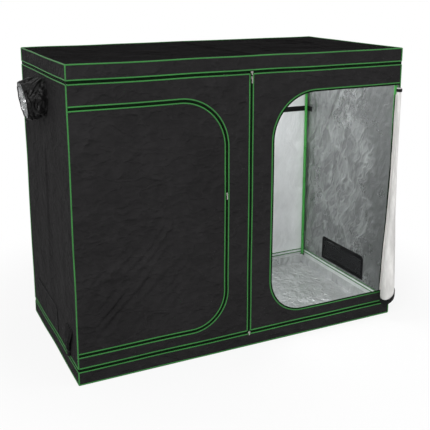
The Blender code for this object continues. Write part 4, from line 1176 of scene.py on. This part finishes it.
class TENT_OT_back_wall(bpy.types.Operator):
    """Back wall and the flat strap across it"""

    bl_idname = "tent.back_wall"
    bl_label = "Back wall"

    def execute(self, context):
        sizes = context.scene.tent_sizes

        def place(u, v):
            x, z = -LEAF_EDGE + 2 * LEAF_EDGE * u, WALL_BOTTOM + WALL_HEIGHT * v
            edge = np.minimum(LEAF_EDGE - np.abs(x), off_ends(z))
            soft = sizes.fold_depth * 0.9 * ripple(x * 1.2, z, 0.55, 81)
            crease = sizes.crease_depth * creases(x, z, 0.45, 82, 0.16)
            packing = 0.0012 * sum(line_fold(across, 0.006) for across in (z - 0.70, x - 0.30, x + 0.52))
            out = np.clip((soft + crease + packing) * fade(edge, 0.06), -0.0022, 0.004)
            return wander(rows_of(x, COVER_Y + out * fade(np.abs(z - BACK_STRAP) - 0.03, 0.03), z))

        cells = round(2 * LEAF_EDGE / sizes.cell), round(WALL_HEIGHT / sizes.cell)
        wall = lay_cloth("wall_back_cloth", cells, place, (2 * LEAF_EDGE, WALL_HEIGHT), (0, 0, 1),
                         ("shell", "soft_lining"), sizes.cloth_thickness)
        dress(wall, "tent", "wall_back")

        end = BACK_STRAP_Y - BACK_STRAP_END
        corners = [(BACK_STRAP_X, end), (BACK_STRAP_X, BACK_STRAP_Y)]
        corners += [(-x, y) for x, y in reversed(corners)]
        path = fine_path(rounded([(x, y, BACK_STRAP) for x, y in corners], TURN))
        profile = [
            (-0.0004, -0.0212), (-0.0004, 0.0212), (-0.0020, 0.0212), (-0.0028, 0.0190), (-0.0028, -0.0190),
            (-0.0020, -0.0212),
        ]
        strap = trim("back_wall_strap", "webbing", path, UP, profile, "tent", "back_wall_band")
        return {"FINISHED"}


def d_block(name, side, offset):
    """A thick D-shaped block along a door zip, moved outwards by offset."""
    block = start_piece("plane", name, size=1)
    x_low, x_high = DOOR_EDGE - offset, LEAF_EDGE + 0.02
    z_low, z_high = DOOR_BOTTOM - offset, DOOR_TOP + offset
    front, depth = -0.65, 0.12
    x, z, _ = points_of(block).T
    x, z = np.where(x < 0, x_low, x_high), np.where(z < 0, z_low, z_high)
    place_points(block, rows_of(x, np.full(4, front), z))
    for height, turn in ((z_high, DOOR_TOP_TURN), (z_low, DOOR_BOTTOM_TURN)):
        with editing(block):
            bpy.ops.mesh.select_mode(type="VERT")
            bpy.ops.mesh.select_all(action="DESELECT")
        for vertex in block.data.vertices:
            vertex.select = abs(vertex.co.x - x_low) < 1e-5 and abs(vertex.co.z - height) < 1e-5
        bpy.ops.object.mode_set(mode="EDIT")
        bpy.ops.mesh.bevel(offset=turn + offset, segments=32, affect="VERTICES")
    bpy.ops.mesh.select_all(action="SELECT")
    bpy.ops.mesh.extrude_region_move(TRANSFORM_OT_translate={"value": (0, depth, 0)})
    bpy.ops.mesh.select_all(action="SELECT")
    if side < 0:
        bpy.ops.transform.resize(value=(-1, 1, 1), center_override=(0, 0, 0))
    bpy.ops.mesh.normals_make_consistent(inside=False)
    bpy.ops.object.mode_set(mode="OBJECT")
    return block


def slanting_pulls(x, z, seed):
    """The door's fan of pulls: slanting waves about one place, uneven and swaying."""
    turn, from_x, from_z = math.radians(46), x + 0.853, z - 0.56
    across = from_x * math.sin(turn) - from_z * math.cos(turn)
    along = from_x * math.cos(turn) + from_z * math.sin(turn)
    envelope = np.exp(-((across / 0.24) ** 2) - ((along / 0.40) ** 2))
    sway = 0.022 * ripple(across, along * 0.5, 0.26, seed)
    uneven = 0.65 + 0.5 * ripple(across * 0.7, along * 0.5, 0.16, seed + 1)
    return 0.0115 * envelope * uneven * (np.sin(2 * np.pi * (across + sway) / 0.068) + 0.3)


def front_folds(x, z, seed, door):
    """Height of the folds in the front's cloth: soft waves, creases from packing, and pulls."""
    sizes = bpy.context.scene.tent_sizes
    height = sizes.fold_depth * 0.8 * ripple(x, z * 1.6, 0.30, seed)
    height += sizes.crease_depth * 1.2 * (creases(x, z * 2.2, 0.22, seed + 1, 0.24) - 0.2)
    worked = fade(ripple(x, z, 0.7, seed + 6) + 0.75, 1.2)
    height += 0.0062 * worked * (creases(x * 0.6, z * 1.7, 0.14, seed + 2, 0.28) - 0.2)
    strength = 0.55 + 0.45 * ripple(x, x * 0, 0.3, seed + 5)
    for level, depth, bend in (
        (1.465, 0.0095, 0.4), (1.41, 0.0060, 2.0), (1.24, 0.0055, 3.1),
        (1.03, 0.0065, 0.9), (0.74, 0.0035, 1.7), (0.42, 0.0040, 4.0),
    ):
        path = level + 0.014 * np.sin(5.2 * x + bend) + 0.005 * np.sin(17 * x + 2 * bend)
        height += depth * strength * line_fold(z - path, 0.015)
    upright = np.abs(x) - 0.566 - 0.004 * np.sin(7 * z)
    height += 0.0060 * line_fold(upright, 0.013) * fade(1.22 - z, 0.12)
    if door:
        return height + slanting_pulls(x, z, seed + 3)
    return height + 0.0034 * ripple(x * 0.8 + z * 0.7, z * 0.4, 0.13, seed + 7) * fade(z - 1.70, 0.08)


class TENT_OT_front(bpy.types.Operator):
    """The two halves of the front, and the closed left door"""

    bl_idname = "tent.front"
    bl_label = "Front"

    def execute(self, context):
        for side, name, inner, seed in ((-1, "left", 0.0068, 91), (1, "right", 0.0071, 101)):
            size = LEAF_EDGE - inner, WALL_HEIGHT
            spans = (inner, LEAF_EDGE), (WALL_BOTTOM, WALL_TOP)
            panel = self.cloth(f"front_{name}_cloth", side, *spans, size, seed, (-0.005, 0.010))
            cut(panel, d_block("doorway", side, 0.0071))
            dress(panel, f"leaf_{name}", f"front_panel_{name}")

        spare = 0.02
        spans = (LEAF_EDGE, DOOR_EDGE - spare), (DOOR_BOTTOM - spare, DOOR_TOP + spare)
        door = self.cloth("door_left_cloth", -1, *spans, (1.037, 1.58), 111, (-0.006, 0.012), True)
        cut(door, d_block("door_shape", -1, 0.0068), "INTERSECT")
        dress(door, "left_door", "door_left")
        return {"FINISHED"}

    def cloth(self, name, side, x_span, z_span, size, seed, limits, door=False):
        """Cloth of the front, before its D is cut. x_span is measured from the middle of the front."""
        sizes = bpy.context.scene.tent_sizes
        cell = sizes.cell * 0.7

        def place(u, v):
            x = side * (x_span[0] + (x_span[1] - x_span[0]) * u)
            z = z_span[0] + (z_span[1] - z_span[0]) * v
            edge = np.minimum(LEAF_EDGE - np.abs(x), distance_to_path(door_path(side), x, z) - 0.01)
            if not door:
                edge = np.minimum(edge, np.minimum(np.abs(x) - x_span[0], off_ends(z)))
            out = front_folds(x, z, seed, door) * fade(edge, 0.05)
            return wander(rows_of(x, -(COVER_Y + np.clip(out, *limits)), z))

        return lay_cloth(name, (round(size[0] / cell), round(size[1] / cell)), place, size, (0, 0, 1),
                         ("shell", "soft_lining"), sizes.cloth_thickness)


class TENT_OT_piping(bpy.types.Operator):
    """Round green beads in every seam and along every zip"""

    bl_idname = "tent.piping"
    bl_label = "Piping"

    def execute(self, context):
        bead = round_profile(context.scene.tent_sizes.piping_radius, 12)

        def lay(name, path, body, node, up=FORWARD, closed=False):
            trim(f"{name}_bead", "piping", path, up, bead, body, node, closed)

        for name, height, node in (
            ("roof", PIPING_TOP, "roof_cap"), ("band", CAP_BEAD, "roof_cap"),
            ("skirt", SKIRT_BEAD, "base_skirt"), ("floor", PIPING_BOTTOM, "base_skirt"),
        ):
            lay(name, level_loop(PIPING_X, PIPING_Y, height), "tent", node, UP, True)
        for side, name in ((-1, "left"), (1, "right")):
            x = side * PIPING_X
            for y, depth in ((-PIPING_Y, "front"), (PIPING_Y, "back")):
                for part, low, high, node in (
                    ("cap", CAP_BEAD, PIPING_TOP, "roof_cap"),
                    ("skirt", PIPING_BOTTOM, SKIRT_BEAD, "base_skirt"),
                ):
                    path = fine_path([(x, y, low), (x, y, high)])
                    trim(f"{part}_corner_bead_{depth}_{name}", "piping", path, FORWARD, bead, "tent", node)
            corners = [(-PIPING_Y, BOTTOM_BEAD), (PIPING_Y, BOTTOM_BEAD)]
            corners += [(y, TOP_BEAD) for y in (PIPING_Y, -PIPING_Y)]
            ring = rounded([(x, y, z) for y, z in corners], TURN, True)
            lay(f"wall_{name}", fine_path(ring, closed=True), "tent", f"wall_{name}", (1, 0, 0), True)
            leaf, panel = f"leaf_{name}", f"front_panel_{name}"
            corners = [(BEAD_END, TOP_BEAD), (ZIP_TO_BEAD, TOP_BEAD)]
            corners += [(across, BOTTOM_BEAD) for across in (ZIP_TO_BEAD, BEAD_END)]
            edge = rounded([(side * across, -PIPING_Y, z) for across, z in corners], TURN)
            lay(f"front_{name}_edge", fine_path(edge), leaf, panel)
            lay(f"doorway_{name}", on_front(door_path(side, ZIP_TO_BEAD), -PIPING_Y), leaf, panel)
        lay("door_left", on_front(door_path(-1, -ZIP_TO_BEAD), -PIPING_Y), "left_door", "door_left")
        for name, z in (("top", TOP_BEAD), ("bottom", BOTTOM_BEAD)):
            path = fine_path([(-BEAD_END, PIPING_Y, z), (BEAD_END, PIPING_Y, z)])
            lay(f"wall_back_{name}", path, "tent", "wall_back", BACKWARD)
        return {"FINISHED"}


class TENT_OT_zips(bpy.types.Operator):
    """Tape and coil of the roof, base, centre and door zips"""

    bl_idname = "tent.zips"
    bl_label = "Zips"

    def execute(self, context):
        thick, coil = context.scene.tent_sizes.tape_thickness, context.scene.tent_sizes.coil_radius
        teeth = [(a, b * 0.8) for a, b in round_profile(coil, 8)]
        half_teeth = round_profile(coil * 0.7, 8)
        wide, narrow = 0.0088, 0.0068

        def lay(name, path, up, tape, chain, body, node, closed=False):
            trim(f"{name}_tape", "tape", path, up, tape, body, node, closed)
            trim(f"{name}_coil", "coil", path, up, chain, body, node, closed)

        for name, height, low, high, node in (
            ("roof_zip", ROOF_ZIP, -narrow, wide, "roof_cap"),
            ("base_zip", BASE_ZIP, -wide, narrow, "base_skirt"),
        ):
            tape = [(0, low), (thick, low), (thick, high), (0, high)]
            chain = [(b + thick, a) for a, b in teeth]
            lay(name, level_loop(COVER_X, COVER_Y, height), UP, tape, chain, "tent", node, True)
        centre = [(0, BOTTOM_BEAD), (0, TOP_BEAD)]
        for name, points, low, high, turns, body, node in (
            ("centre_zip", centre, -wide, narrow, teeth, "leaf_left", "front_panel_left"),
            ("door_zip_left", door_path(-1), -wide, narrow, teeth, "left_door", "door_left"),
            ("door_zip_right", door_path(1), 0.0, wide, half_teeth, "leaf_right", "front_panel_right"),
        ):
            chain = [(a, b + thick) for a, b in turns]
            lay(name, on_front(points, -COVER_Y), FORWARD, tape_profile(low, high, thick), chain, body, node)
        return {"FINISHED"}


class TENT_OT_vents(bpy.types.Operator):
    """Net, flap and bound edge of each low vent"""

    bl_idname = "tent.vents"
    bl_label = "Vents"

    def execute(self, context):
        for side, name, middle in ((-1, "left", LEFT_VENT), (1, "right", RIGHT_VENT)):
            self.lay_net(side, name, middle)
            self.lay_flap(side, name, middle)
        return {"FINISHED"}

    def lay_net(self, side, name, middle):
        """The net with the binding round it."""
        half, low, high = VENT_HALF - NET_INSET, VENT_BOTTOM + NET_INSET, VENT_TOP - NET_INSET
        corner, node = 0.02, f"vent_mesh_{name}"

        def place(u, v):
            y, z = middle - half + 2 * half * u, low + (high - low) * v
            slack = 0.0006 * ripple(y, z, 0.12, 121) * fade(off_rim(u, v, 2 * half, high - low), 0.03)
            return rows_of(side * (NET_X + np.clip(slack, -0.0006, 0.0006)), y, z)

        size = 2 * half, high - low
        net = lay_cloth(f"vent_net_{name}", (48, 18), place, size, (0, 0, 1), ("net",), 0.0005)
        dress(net, "tent", node)
        rim = [(middle - half, low), (middle + half, low)]
        rim += arc(middle + half - corner, high - corner, corner, 0, math.pi / 2, 6)
        rim += arc(middle - half + corner, high - corner, corner, math.pi / 2, math.pi, 6)
        path = fine_path([(side * BINDING_X, y, z) for y, z in rim], closed=True)
        profile = [(-0.011, 0.0), (0.011, 0.0), (0.011, 0.0012), (-0.011, 0.0012)]
        trim(f"vent_binding_{name}", "webbing", path, (-side, 0, 0), profile, "tent", node, True)

    def lay_flap(self, side, name, middle):
        """The flap, its two upper corners round, with the hem on its edge."""
        body, node = f"{name}_vent_flap", f"vent_flap_{name}"
        size = 2 * VENT_HALF, VENT_TALL

        def place(u, v):
            z = VENT_BOTTOM + VENT_TALL * v
            drop = np.clip((z - (VENT_TOP - VENT_CORNER)) / VENT_CORNER, 0, 1)
            width = VENT_HALF - VENT_CORNER + VENT_CORNER * np.sqrt(np.clip(1 - drop**2, 0, 1))
            y = middle + width * (2 * u - 1)
            puff = 0.0010 * np.abs(ripple(y * 0.7, z, 0.14, 131)) * fade(off_rim(u, v, *size), 0.03)
            lift = 0.0012 * fade(v - 0.8, 0.2) * (1 + ripple(y, z * 0, 0.16, 132))
            return rows_of(side * (FLAP_X + puff + np.clip(lift, 0, 0.003)), y, z)

        finishes = "shell", "soft_lining"
        flap = lay_cloth(f"{node}_cloth", (56, 20), place, size, (0, 0, 0.3), finishes, 0.0014)
        dress(flap, body, node)
        inset, foot = 0.006, VENT_BOTTOM + 0.004
        reach, top, radius = VENT_HALF - VENT_CORNER, VENT_TOP - VENT_CORNER, VENT_CORNER - inset
        edge = [(middle - VENT_HALF + inset, foot)]
        edge += arc(middle - reach, top, radius, math.pi, math.pi / 2, 8)
        edge += arc(middle + reach, top, radius, math.pi / 2, 0, 8)
        edge.append((middle + VENT_HALF - inset, foot))
        path = fine_path([(side * HEM_X, y, z) for y, z in edge])
        profile = [(-0.0055, 0.0004), (0.0055, 0.0004), (0.0055, 0.0016), (0.0, 0.0022), (-0.0055, 0.0016)]
        trim(f"{node}_hem", "webbing", path, (side, 0, 0), profile, body, node)


class TENT_OT_sleeve(bpy.types.Operator):
    """Duct sleeve with its gathered hem"""

    bl_idname = "tent.sleeve"
    bl_label = "Duct sleeve"

    def execute(self, context):
        girth, inside = 0.78, (-1.26, DUCT_Y, DUCT_Z)
        sleeve = lay_cloth("duct_sleeve_cloth", (144, 30), sleeve_surface, (girth, 0.13), inside,
                           ("sleeve", "sleeve_lining"), 0.0014, True)
        dress(sleeve, "tent", "duct_sleeve", angle=60)

        def place(u, v):
            angle = 2 * np.pi * v[:, None]
            mouth = sleeve_surface(u, np.full(u.shape, 0.985), 0.0)
            out = unit_rows(mouth - (DUCT_ROOT + DUCT_WAY))
            away = np.array([-1.0, 0, 0])
            return mouth - 0.0012 * out + 0.0034 * (np.cos(angle) * out + np.sin(angle) * away)

        hem = join_seam(lay_grid("duct_sleeve_hem", 144, 8, place, girth, 0.02))
        dress(hem, "tent", "duct_sleeve", "sleeve", 60)
        return {"FINISHED"}


class TENT_OT_cable_port(bpy.types.Operator):
    """Tied cloth sock for cables"""

    bl_idname = "tent.cable_port"
    bl_label = "Cable port"

    def execute(self, context):
        levels = (0.0, 0.10, 0.30, 0.55, 0.74, 0.86, 0.91, 1.0)
        widths = (0.90, 1.0, 0.86, 0.56, 0.30, 0.13, 0.14, 0.30)
        thick = (0.16, 0.50, 0.90, 1.0, 0.85, 0.50, 0.52, 0.62)

        def place(u, v):
            angle = 2 * np.pi * u
            half_width = PORT_HALF * np.interp(v, levels, widths)
            half_thick = PORT_HALF_THICK * np.interp(v, levels, thick)
            pleats = 0.10 * (1 + np.cos(7 * angle)) / 2
            fold = 1 - pleats - 0.16 * fade(v - 0.1, 0.3) * creases(u * 0.6, v * 0.3, 0.16, 141, 0.4)
            y = PORT_Y + half_width * np.cos(angle) * fold
            x = WALL_FACE - half_thick * (1 + np.sin(angle) * fold)
            return rows_of(x, y, PORT_TOP - PORT_LENGTH * v)

        size, inside = (0.30, PORT_LENGTH), (-1.21, PORT_Y, 0.25)
        port = lay_cloth("cable_port_cloth", (96, 40), place, size, inside, ("port", "lining"), 0.0008, True)
        dress(port, "tent", "cable_port", angle=60)
        neck = PORT_HALF * 0.135 + 0.0012, PORT_HALF_THICK * 0.5 + 0.0012
        turns, pitch, radius = 3, 0.0026, 0.0013

        def tie_place(u, v):
            around, section = 2 * np.pi * u * turns, 2 * np.pi * v[:, None]
            out = rows_of(np.sin(around), np.cos(around), 0 * around)
            middle = (WALL_FACE - PORT_HALF_THICK * 0.5, PORT_Y, PORT_TOP - PORT_LENGTH * 0.86)
            centre = middle + rows_of(neck[1] * out[:, 0], neck[0] * out[:, 1], pitch * (u - 0.5) * turns)
            return centre + radius * (np.cos(section) * out + np.sin(section) * np.array([0, 0, 1.0]))

        tie = join_seam(lay_grid("cable_port_tie", 72, 8, tie_place, 0.2, 0.008), fill=True)
        dress(tie, "tent", "cable_port", "cord", 60)
        return {"FINISHED"}


def roll_height(share):
    return ROLL_LOW + (ROLL_HIGH - ROLL_LOW) * share


def roll_radius(share):
    """The roll is wide at its foot, where it hangs loose, and narrow above its middle."""
    levels = (0.0, 0.08, 0.155, 0.27, 0.39, 0.51, 0.62, 0.80, 1.0)
    shares = (1.0, 1.0, 0.84, 0.62, 0.30, 0.15, 0.0, 0.0, 0.0)
    return ROLL_CORE + (ROLL_FOOT - ROLL_CORE) * np.interp(share, levels, shares)


def faceted(radius):
    """The reach of the solid roll's corners, whose 24 flat sides lie at the radius, with a little room."""
    return radius / math.cos(math.pi / 24) + ROLL_ROOM


def roll_centre(radius):
    """The middle of the roll, which lies against the front and beside the corner, over its strap."""
    reach = ROLL_ROOM + BAND_THICK + faceted(radius)
    return HINGE_X - reach, LEAF_FACE - reach


def spread_ring(centre, reach, angle, z):
    return rows_of(centre[0] + reach * np.cos(angle), centre[1] + reach * np.sin(angle), z)


class TENT_OT_rolled_door(bpy.types.Operator):
    """Right door rolled up at the corner, its lining outwards, with its strap and tie"""

    bl_idname = "tent.rolled_door"
    bl_label = "Rolled door"

    body, node, finishes = "leaf_right", "door_right_rolled", ("rolled", "shell")

    def execute(self, context):
        roll = self.lay_roll(context.scene.tent_sizes)
        self.lay_seam()
        self.lay_strip("door_right_hem", 0.0, 0.72, self.finishes, 0.0012)
        self.lay_strip("door_right_hem_tape", 0.66, 1.0, ("tape",), 0.0020)
        strap_low, strap_high = STRAP_MIDDLE - STRAP_HALF, STRAP_MIDDLE + STRAP_HALF
        for name, radius, low, high, tilt, node in (
            ("roll_strap_webbing", ROLL_FOOT, strap_low, strap_high, STRAP_TILT, "roll_strap_bottom"),
            ("roll_tie_webbing", TIE_RADIUS, TIE_LOW, TIE_HIGH, 0.0, "roll_tie_top"),
        ):
            band, flat = self.lay_ring(name, radius, low, high, tilt, node)
        return {"FINISHED"}

    def lay_roll(self, sizes):
        """The door as a spiral of cloth, from its outer edge inwards."""
        turns, core = sizes.roll_turns, 0.0030

        def place(u, v):
            radius = roll_radius(v)
            z = roll_height(v)
            angle = math.radians(148) + 2 * np.pi * turns * u
            full = 2 * np.pi * np.clip(u * turns, 0, 1)
            lobe = 0.0012 * (1 - np.cos(5 * full + 2 * np.pi * v)) / 2
            step = np.where(u * turns < 1, FIRST_TURN * u * turns, FIRST_TURN)
            rest = np.clip((u * turns - 1) / (turns - 1), 0, 1)
            reach = radius - step - lobe - (radius - FIRST_TURN - core) * rest
            soft = 0.0007 * ripple(angle * 0.02, z, 0.35, 151) * np.exp(-rest * 6)
            return spread_ring(roll_centre(radius), reach + np.minimum(soft, 0.0004), angle, z)

        roll = lay_grid("door_right_roll", turns * 30, 70, place, DOOR_WIDTH, ROLL_LENGTH)
        middle = Vector((*roll_centre(0.03), 0))
        ways = [(Vector((*face.center.xy, 0)) - middle, face.normal) for face in roll.data.polygons]
        if sum(way.dot(normal) for way, normal in ways if way.length > 0.012) < 0:
            turn_over(roll)
        put_finishes(roll, *self.finishes)
        thicken(roll, sizes.roll_thickness)
        dress(roll, self.body, self.node, angle=60)
        return roll

    def lay_seam(self):
        """The cloth between the roll and the corner seam that it hangs from."""
        low, high, near = 0.251, 1.685, -(COVER_Y - 0.002)
        edge = HINGE_X - ROLL_ROOM - BAND_THICK - FIRST_TURN - 0.0022

        def place(u, v):
            share = (low - ROLL_LOW + (high - low) * v) / (ROLL_HIGH - ROLL_LOW)
            z = roll_height(share)
            far = roll_centre(roll_radius(share))[1]
            slack = 0.0008 * np.sin(math.pi * u) * ripple(z, u * 0.1, 0.3, 152)
            return rows_of(edge + slack, near + (far - near) * u, z)

        seam = lay_cloth("door_right_seam", (6, 60), place, (0.03, 1.43), (1.1, -0.6, 1), self.finishes,
                         0.0012)
        dress(seam, self.body, self.node)

    def lay_strip(self, name, near, far, finishes, thickness):
        """Part of the flat hem that stands out beside the roll, from near to far across it."""
        low, high, start = 0.045, 0.97, math.radians(150)

        def place(u, v):
            share = low + (high - low) * v
            radius = roll_radius(share)
            root = spread_ring(roll_centre(radius), radius - 0.004, start, roll_height(share))
            width = 0.021 + 0.012 * np.sin(np.pi * np.clip(share, 0, 1))
            reach = (near + (far - near) * u) * width
            lean = 0.0016 * ripple(share * 1.6, u * 0.1, 0.35, 154) * u
            return root + rows_of(-reach * 0.985, lean * width * 20 - reach * 0.10, 0 * reach)

        strip = lay_cloth(name, (4, 80), place, (0.03, 1.5), (1.15, 0.6, 1), finishes, thickness)
        dress(strip, self.body, self.node)

    def lay_ring(self, name, radius, low, high, tilt, node):
        """A band round the roll, lower on one side by its tilt, and its flat size."""
        inner, tall = faceted(radius), high - low
        profile = np.array(
            [(0.0002, 0.0), (0.0002, 1.0), (0.0012, 1.0), (0.0018, 0.94), (0.0018, 0.06), (0.0012, 0.0)]
        )

        def place(u, v):
            angle = 2 * np.pi * v
            out, rise = profile[np.rint(u * 6).astype(int) % 6].T
            pinch = 0.0004 * ripple(np.cos(angle) * 0.1, np.sin(angle) * 0.1, 0.09, 153)
            z = low + tall * rise - tilt * np.cos(angle - STRAP_LOW_ANGLE)
            return spread_ring(roll_centre(radius), inner + out + np.minimum(pinch, 0), angle, z)

        band = join_seam(lay_grid(name, 6, 64, place, 2 * tall, 2 * math.pi * inner))
        dress(band, self.body, node, "webbing", 50)
        return band, (tall, round(2 * math.pi * inner, 3))


class TENT_OT_tray(bpy.types.Operator):
    """Loose floor tray with turned-up sides"""

    bl_idname = "tent.tray"
    bl_label = "Floor tray"

    def execute(self, context):
        cells = 184, 90
        tray = turned_border("floor_tray_cloth", cells, TRAY_X, TRAY_Y, TRAY_LOW, TRAY_HIGH, 5, (0, 0, 0.5))
        x, y, z = points_of(tray).T
        push = -np.clip((z - TRAY_LOW) / 0.02, 0, 1) * np.abs(0.0022 * ripple(x + y, z, 0.17, 163))
        rise = np.where(z < TRAY_LOW + 0.0005, self.folds(x, y), 0)
        place_points(tray, rows_of(*push_border(x, y, TRAY_X, TRAY_Y, push), z + rise))
        put_finishes(tray, "soft_lining", "floor_foil")
        thicken(tray, 0.0012)
        dress(tray, "tent", "floor_tray")
        return {"FINISHED"}

    def folds(self, x, y):
        """Height of the tray's floor: fine creases, and long folds that run across the tent."""
        edge = np.minimum(TRAY_X - np.abs(x), TRAY_Y - np.abs(y))
        fine = creases(x, y, 0.30, 161, 0.18) + 0.5 * creases(x, y * 1.4, 0.14, 162, 0.2)
        height = 0.0030 * fine * fade(edge, 0.04)
        strength = fade(edge, 0.06) * (0.6 + 0.4 * ripple(x, x * 0, 0.5, 164))
        for middle, slope, rise in (
            (-0.43, 0.05, 0.009), (-0.34, -0.09, 0.006), (-0.22, 0.12, 0.006),
            (-0.05, -0.16, 0.005), (0.14, 0.08, 0.004),
        ):
            across = y - middle - slope * x - 0.018 * np.sin(6 * x + 40 * middle)
            height += rise * line_fold(across, 0.017) * strength
        return height


class TENT_OT_hanging_strap(bpy.types.Operator):
    """Webbing loop over the left bar, with its ladder-lock buckle"""

    bl_idname = "tent.hanging_strap"
    bl_label = "Hanging strap"

    def execute(self, context):
        reach, bottom = 0.00905, BAR_HEIGHT - 0.26
        path = [(0.004, bottom - 0.058), (0.0035, bottom - 0.03), (0.004, bottom)]
        path += [(0.0055, bottom + 0.1), (reach, BAR_HEIGHT - 0.03)]
        path += arc(0, BAR_HEIGHT, reach, 0, math.pi, 12)
        path += [(-reach, BAR_HEIGHT - 0.03), (-0.0055, bottom + 0.1), (-0.004, bottom)]
        points = fine_path([(BAR_X + a, 0.0, z) for a, z in path], 0.012)
        profile = [(-0.0007, -0.0122), (0.0007, -0.0122), (0.0007, 0.0122), (-0.0007, 0.0122)]
        strap = trim("hanging_strap_webbing", "webbing", points, BACKWARD, profile, "left_bar",
                     "hanging_strap")

        middle = BAR_HEIGHT - 0.17
        buckle = boxed("hanging_strap_buckle", (0.012, 0.033, 0.028), (BAR_X, 0, middle))
        with editing(buckle):
            bpy.ops.mesh.bevel(offset=0.0022, segments=3)
        for offset in (-0.0055, 0.0055):
            cut(buckle, boxed("slot", (0.03, 0.027, 0.006), (BAR_X, 0, middle + offset)))
        dress(buckle, "left_bar", "hanging_strap", "plastic", 40)
        return {"FINISHED"}


class TENT_OT_frame(bpy.types.Operator):
    """Finishes of the tubes, joints, bars and sliders"""

    bl_idname = "tent.frame"
    bl_label = "Frame and metal parts"

    def execute(self, context):
        finishes = {
            "corner_post": "tube", "centre_post": "tube", "base_rail": "tube", "top_rail": "tube",
            "ceiling_beam": "tube", "hanging_bar": "bar", "joint": "plastic", "tee": "plastic",
            "slider": "metal",
        }
        for name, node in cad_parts.items():
            finish = next((finishes[word] for word in finishes if word in name), None)
            if finish:
                node.data.materials.clear()
                node.data.materials.append(FINISHES[finish])
        return {"FINISHED"}


ORDER = [
    TENT_OT_stage, TENT_OT_drawcord, TENT_OT_roof, TENT_OT_skirt, TENT_OT_side_walls, TENT_OT_back_wall,
    TENT_OT_front, TENT_OT_piping, TENT_OT_zips, TENT_OT_vents, TENT_OT_sleeve, TENT_OT_cable_port,
    TENT_OT_rolled_door, TENT_OT_tray, TENT_OT_hanging_strap, TENT_OT_frame,
]


class TENT_PT_panel(bpy.types.Panel):
    """Lists the pieces in the order in which they are made"""

    bl_label = "Grow tent"
    bl_idname = "TENT_PT_panel"
    bl_space_type = "VIEW_3D"
    bl_region_type = "UI"
    bl_category = "Grow tent"

    def draw(self, context):
        for group in (context.scene.tent_sizes, context.scene.tent_colours, context.scene.tent_stage):
            for name in group.__annotations__:
                self.layout.prop(group, name)
        for operator in ORDER:
            self.layout.operator(operator.bl_idname)


CLASSES = [TentSizes, TentColours, StageSettings, *ORDER, TENT_PT_panel]


def register():
    for item in CLASSES:
        bpy.utils.register_class(item)
    bpy.types.Scene.tent_sizes = bpy.props.PointerProperty(type=TentSizes)
    bpy.types.Scene.tent_colours = bpy.props.PointerProperty(type=TentColours)
    bpy.types.Scene.tent_stage = bpy.props.PointerProperty(type=StageSettings)


def unregister():
    del bpy.types.Scene.tent_stage
    del bpy.types.Scene.tent_colours
    del bpy.types.Scene.tent_sizes
    for item in reversed(CLASSES):
        bpy.utils.unregister_class(item)


def main():
    register()
    make_finishes()
    for operator in ORDER:
        group, name = operator.bl_idname.split(".")
        getattr(getattr(bpy.ops, group), name)()


if __name__ == "__main__":
    main()
